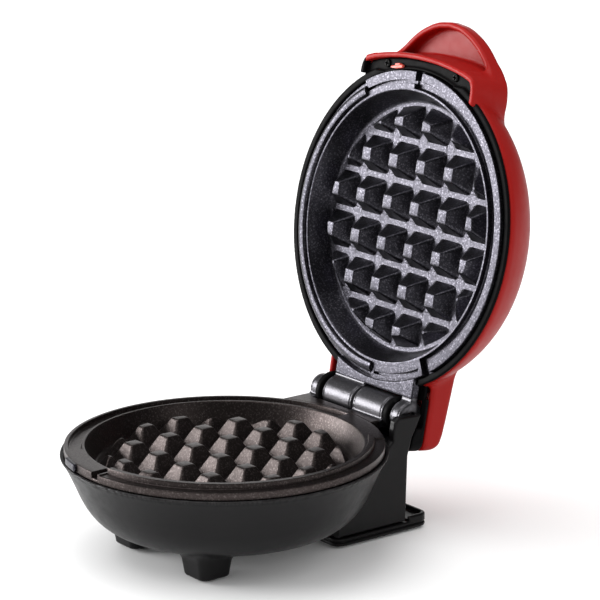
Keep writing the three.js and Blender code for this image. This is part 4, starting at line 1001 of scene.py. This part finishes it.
def clip(x, y, w):
    a = np.degrees(np.arctan2(x, -y))
    r = np.hypot(x, y)
    s = smax(smax(slab(r, 59.2, 60.5), slab(a, -15.6, -9.2) * 1.07, 0.4), slab(w, 1.0, 2.4), 0.4)
    return np.minimum(s, smax(smax(slab(r, 60.2, 61.2), slab(a, -13.4, -10.8) * 1.07, 0.3), slab(w, 1.2, 2.8), 0.3))


made_field("lid_front_clip_bar", clip, (-17, -63, 0.9), (-9, -58, 3.0), 0.14 * H, to_lid, "lid", ["lid_front_clip"], CORAL)

p, f = lathe([(0, -29.2), (1.35, -29.2), (1.6, -29.1), (1.7, -28.9), (1.7, 26.2), (1.6, 26.4), (1.35, 26.5), (0, 26.5)], 40)
p = turn_to(p, "x", (0, HY, HZ))
make("hinge_pin_rod", p, outward(p, f), to_base, "base", ["hinge_pin"], STEEL, sharp=50)


# ---------------------------------------------------------------- floor, light, camera
def make_floor():
    me = bpy.data.meshes.new("floor")
    bm = bmesh.new()
    bmesh.ops.create_grid(bm, x_segments=8, y_segments=8, size=6.0)
    bm.to_mesh(me)
    bm.free()
    ob = bpy.data.objects.new("floor", me)
    scene.collection.objects.link(ob)
    ob.location.z = -0.0001
    m, nt, b = nodes_of("floor_white")
    tc = nt.nodes.new("ShaderNodeTexCoord")
    n = N(nt, "ShaderNodeTexNoise", Scale=1.5, Detail=3.0)
    nt.links.new(tc.outputs["Object"], n.inputs["Vector"])
    c = ramp(nt, [(0.3, grey(0.90)), (0.7, grey(0.92))], n.outputs["Fac"])
    nt.links.new(c.outputs["Color"], b.inputs["Base Color"])
    b.inputs["Roughness"].default_value = 0.9
    b.inputs["Specular IOR Level"].default_value = 0.1
    me.materials.append(m)


make_floor()

world = bpy.data.worlds.new("studio")
scene.world = world
world.use_nodes = True
wt = world.node_tree
bg = wt.nodes["Background"]
lp = wt.nodes.new("ShaderNodeLightPath")
wm = wt.nodes.new("ShaderNodeMix")
wm.data_type = "FLOAT"
wt.links.new(lp.outputs["Is Glossy Ray"], wm.inputs[0])
wm.inputs[2].default_value = 0.92
wm.inputs[3].default_value = 0.07
wt.links.new(wm.outputs[0], bg.inputs["Strength"])
bg.inputs["Color"].default_value = (1, 1, 1, 1)


def area(name, at, target, size, power, size_y=None, spread=180):
    d = bpy.data.lights.new(name, "AREA")
    d.shape = "RECTANGLE"
    d.size, d.size_y = size, size_y or size
    d.energy = power
    d.spread = math.radians(spread)
    o = bpy.data.objects.new(name, d)
    scene.collection.objects.link(o)
    o.location = at
    o.rotation_mode = "QUATERNION"
    o.rotation_quaternion = (Vector(target) - Vector(at)).to_track_quat("-Z", "Y")
    return o


area("card_left", (-1.15, -0.96, 0.33), (0.0, 0.06, 0.12), 1.1, 30, 0.64)
area("top_soft", (-0.25, -0.35, 1.5), (0, 0, 0.0), 1.4, 12)
area("back_left", (-1.25, 1.0, 0.42), (0, 0, 0.05), 1.2, 3.0, 0.5)
area("fill_right", (1.5, 0.1, 0.7), (0, 0.05, 0.1), 0.6, 1.2)

cam = bpy.data.cameras.new("camera")
cam.lens, cam.sensor_width = 175.66, 36.0
cam.clip_start, cam.clip_end = 0.05, 50
co = bpy.data.objects.new("camera", cam)
scene.collection.objects.link(co)
eye, aim = Vector((0.82042, -0.63163, 0.36257)), Vector((-0.03069, 0.03164, 0.07808))
co.location = eye
co.rotation_mode = "QUATERNION"
co.rotation_quaternion = (aim - eye).to_track_quat("-Z", "Y")
scene.camera = co
scene.view_settings.view_transform = "Standard"
scene.view_settings.look = "None"
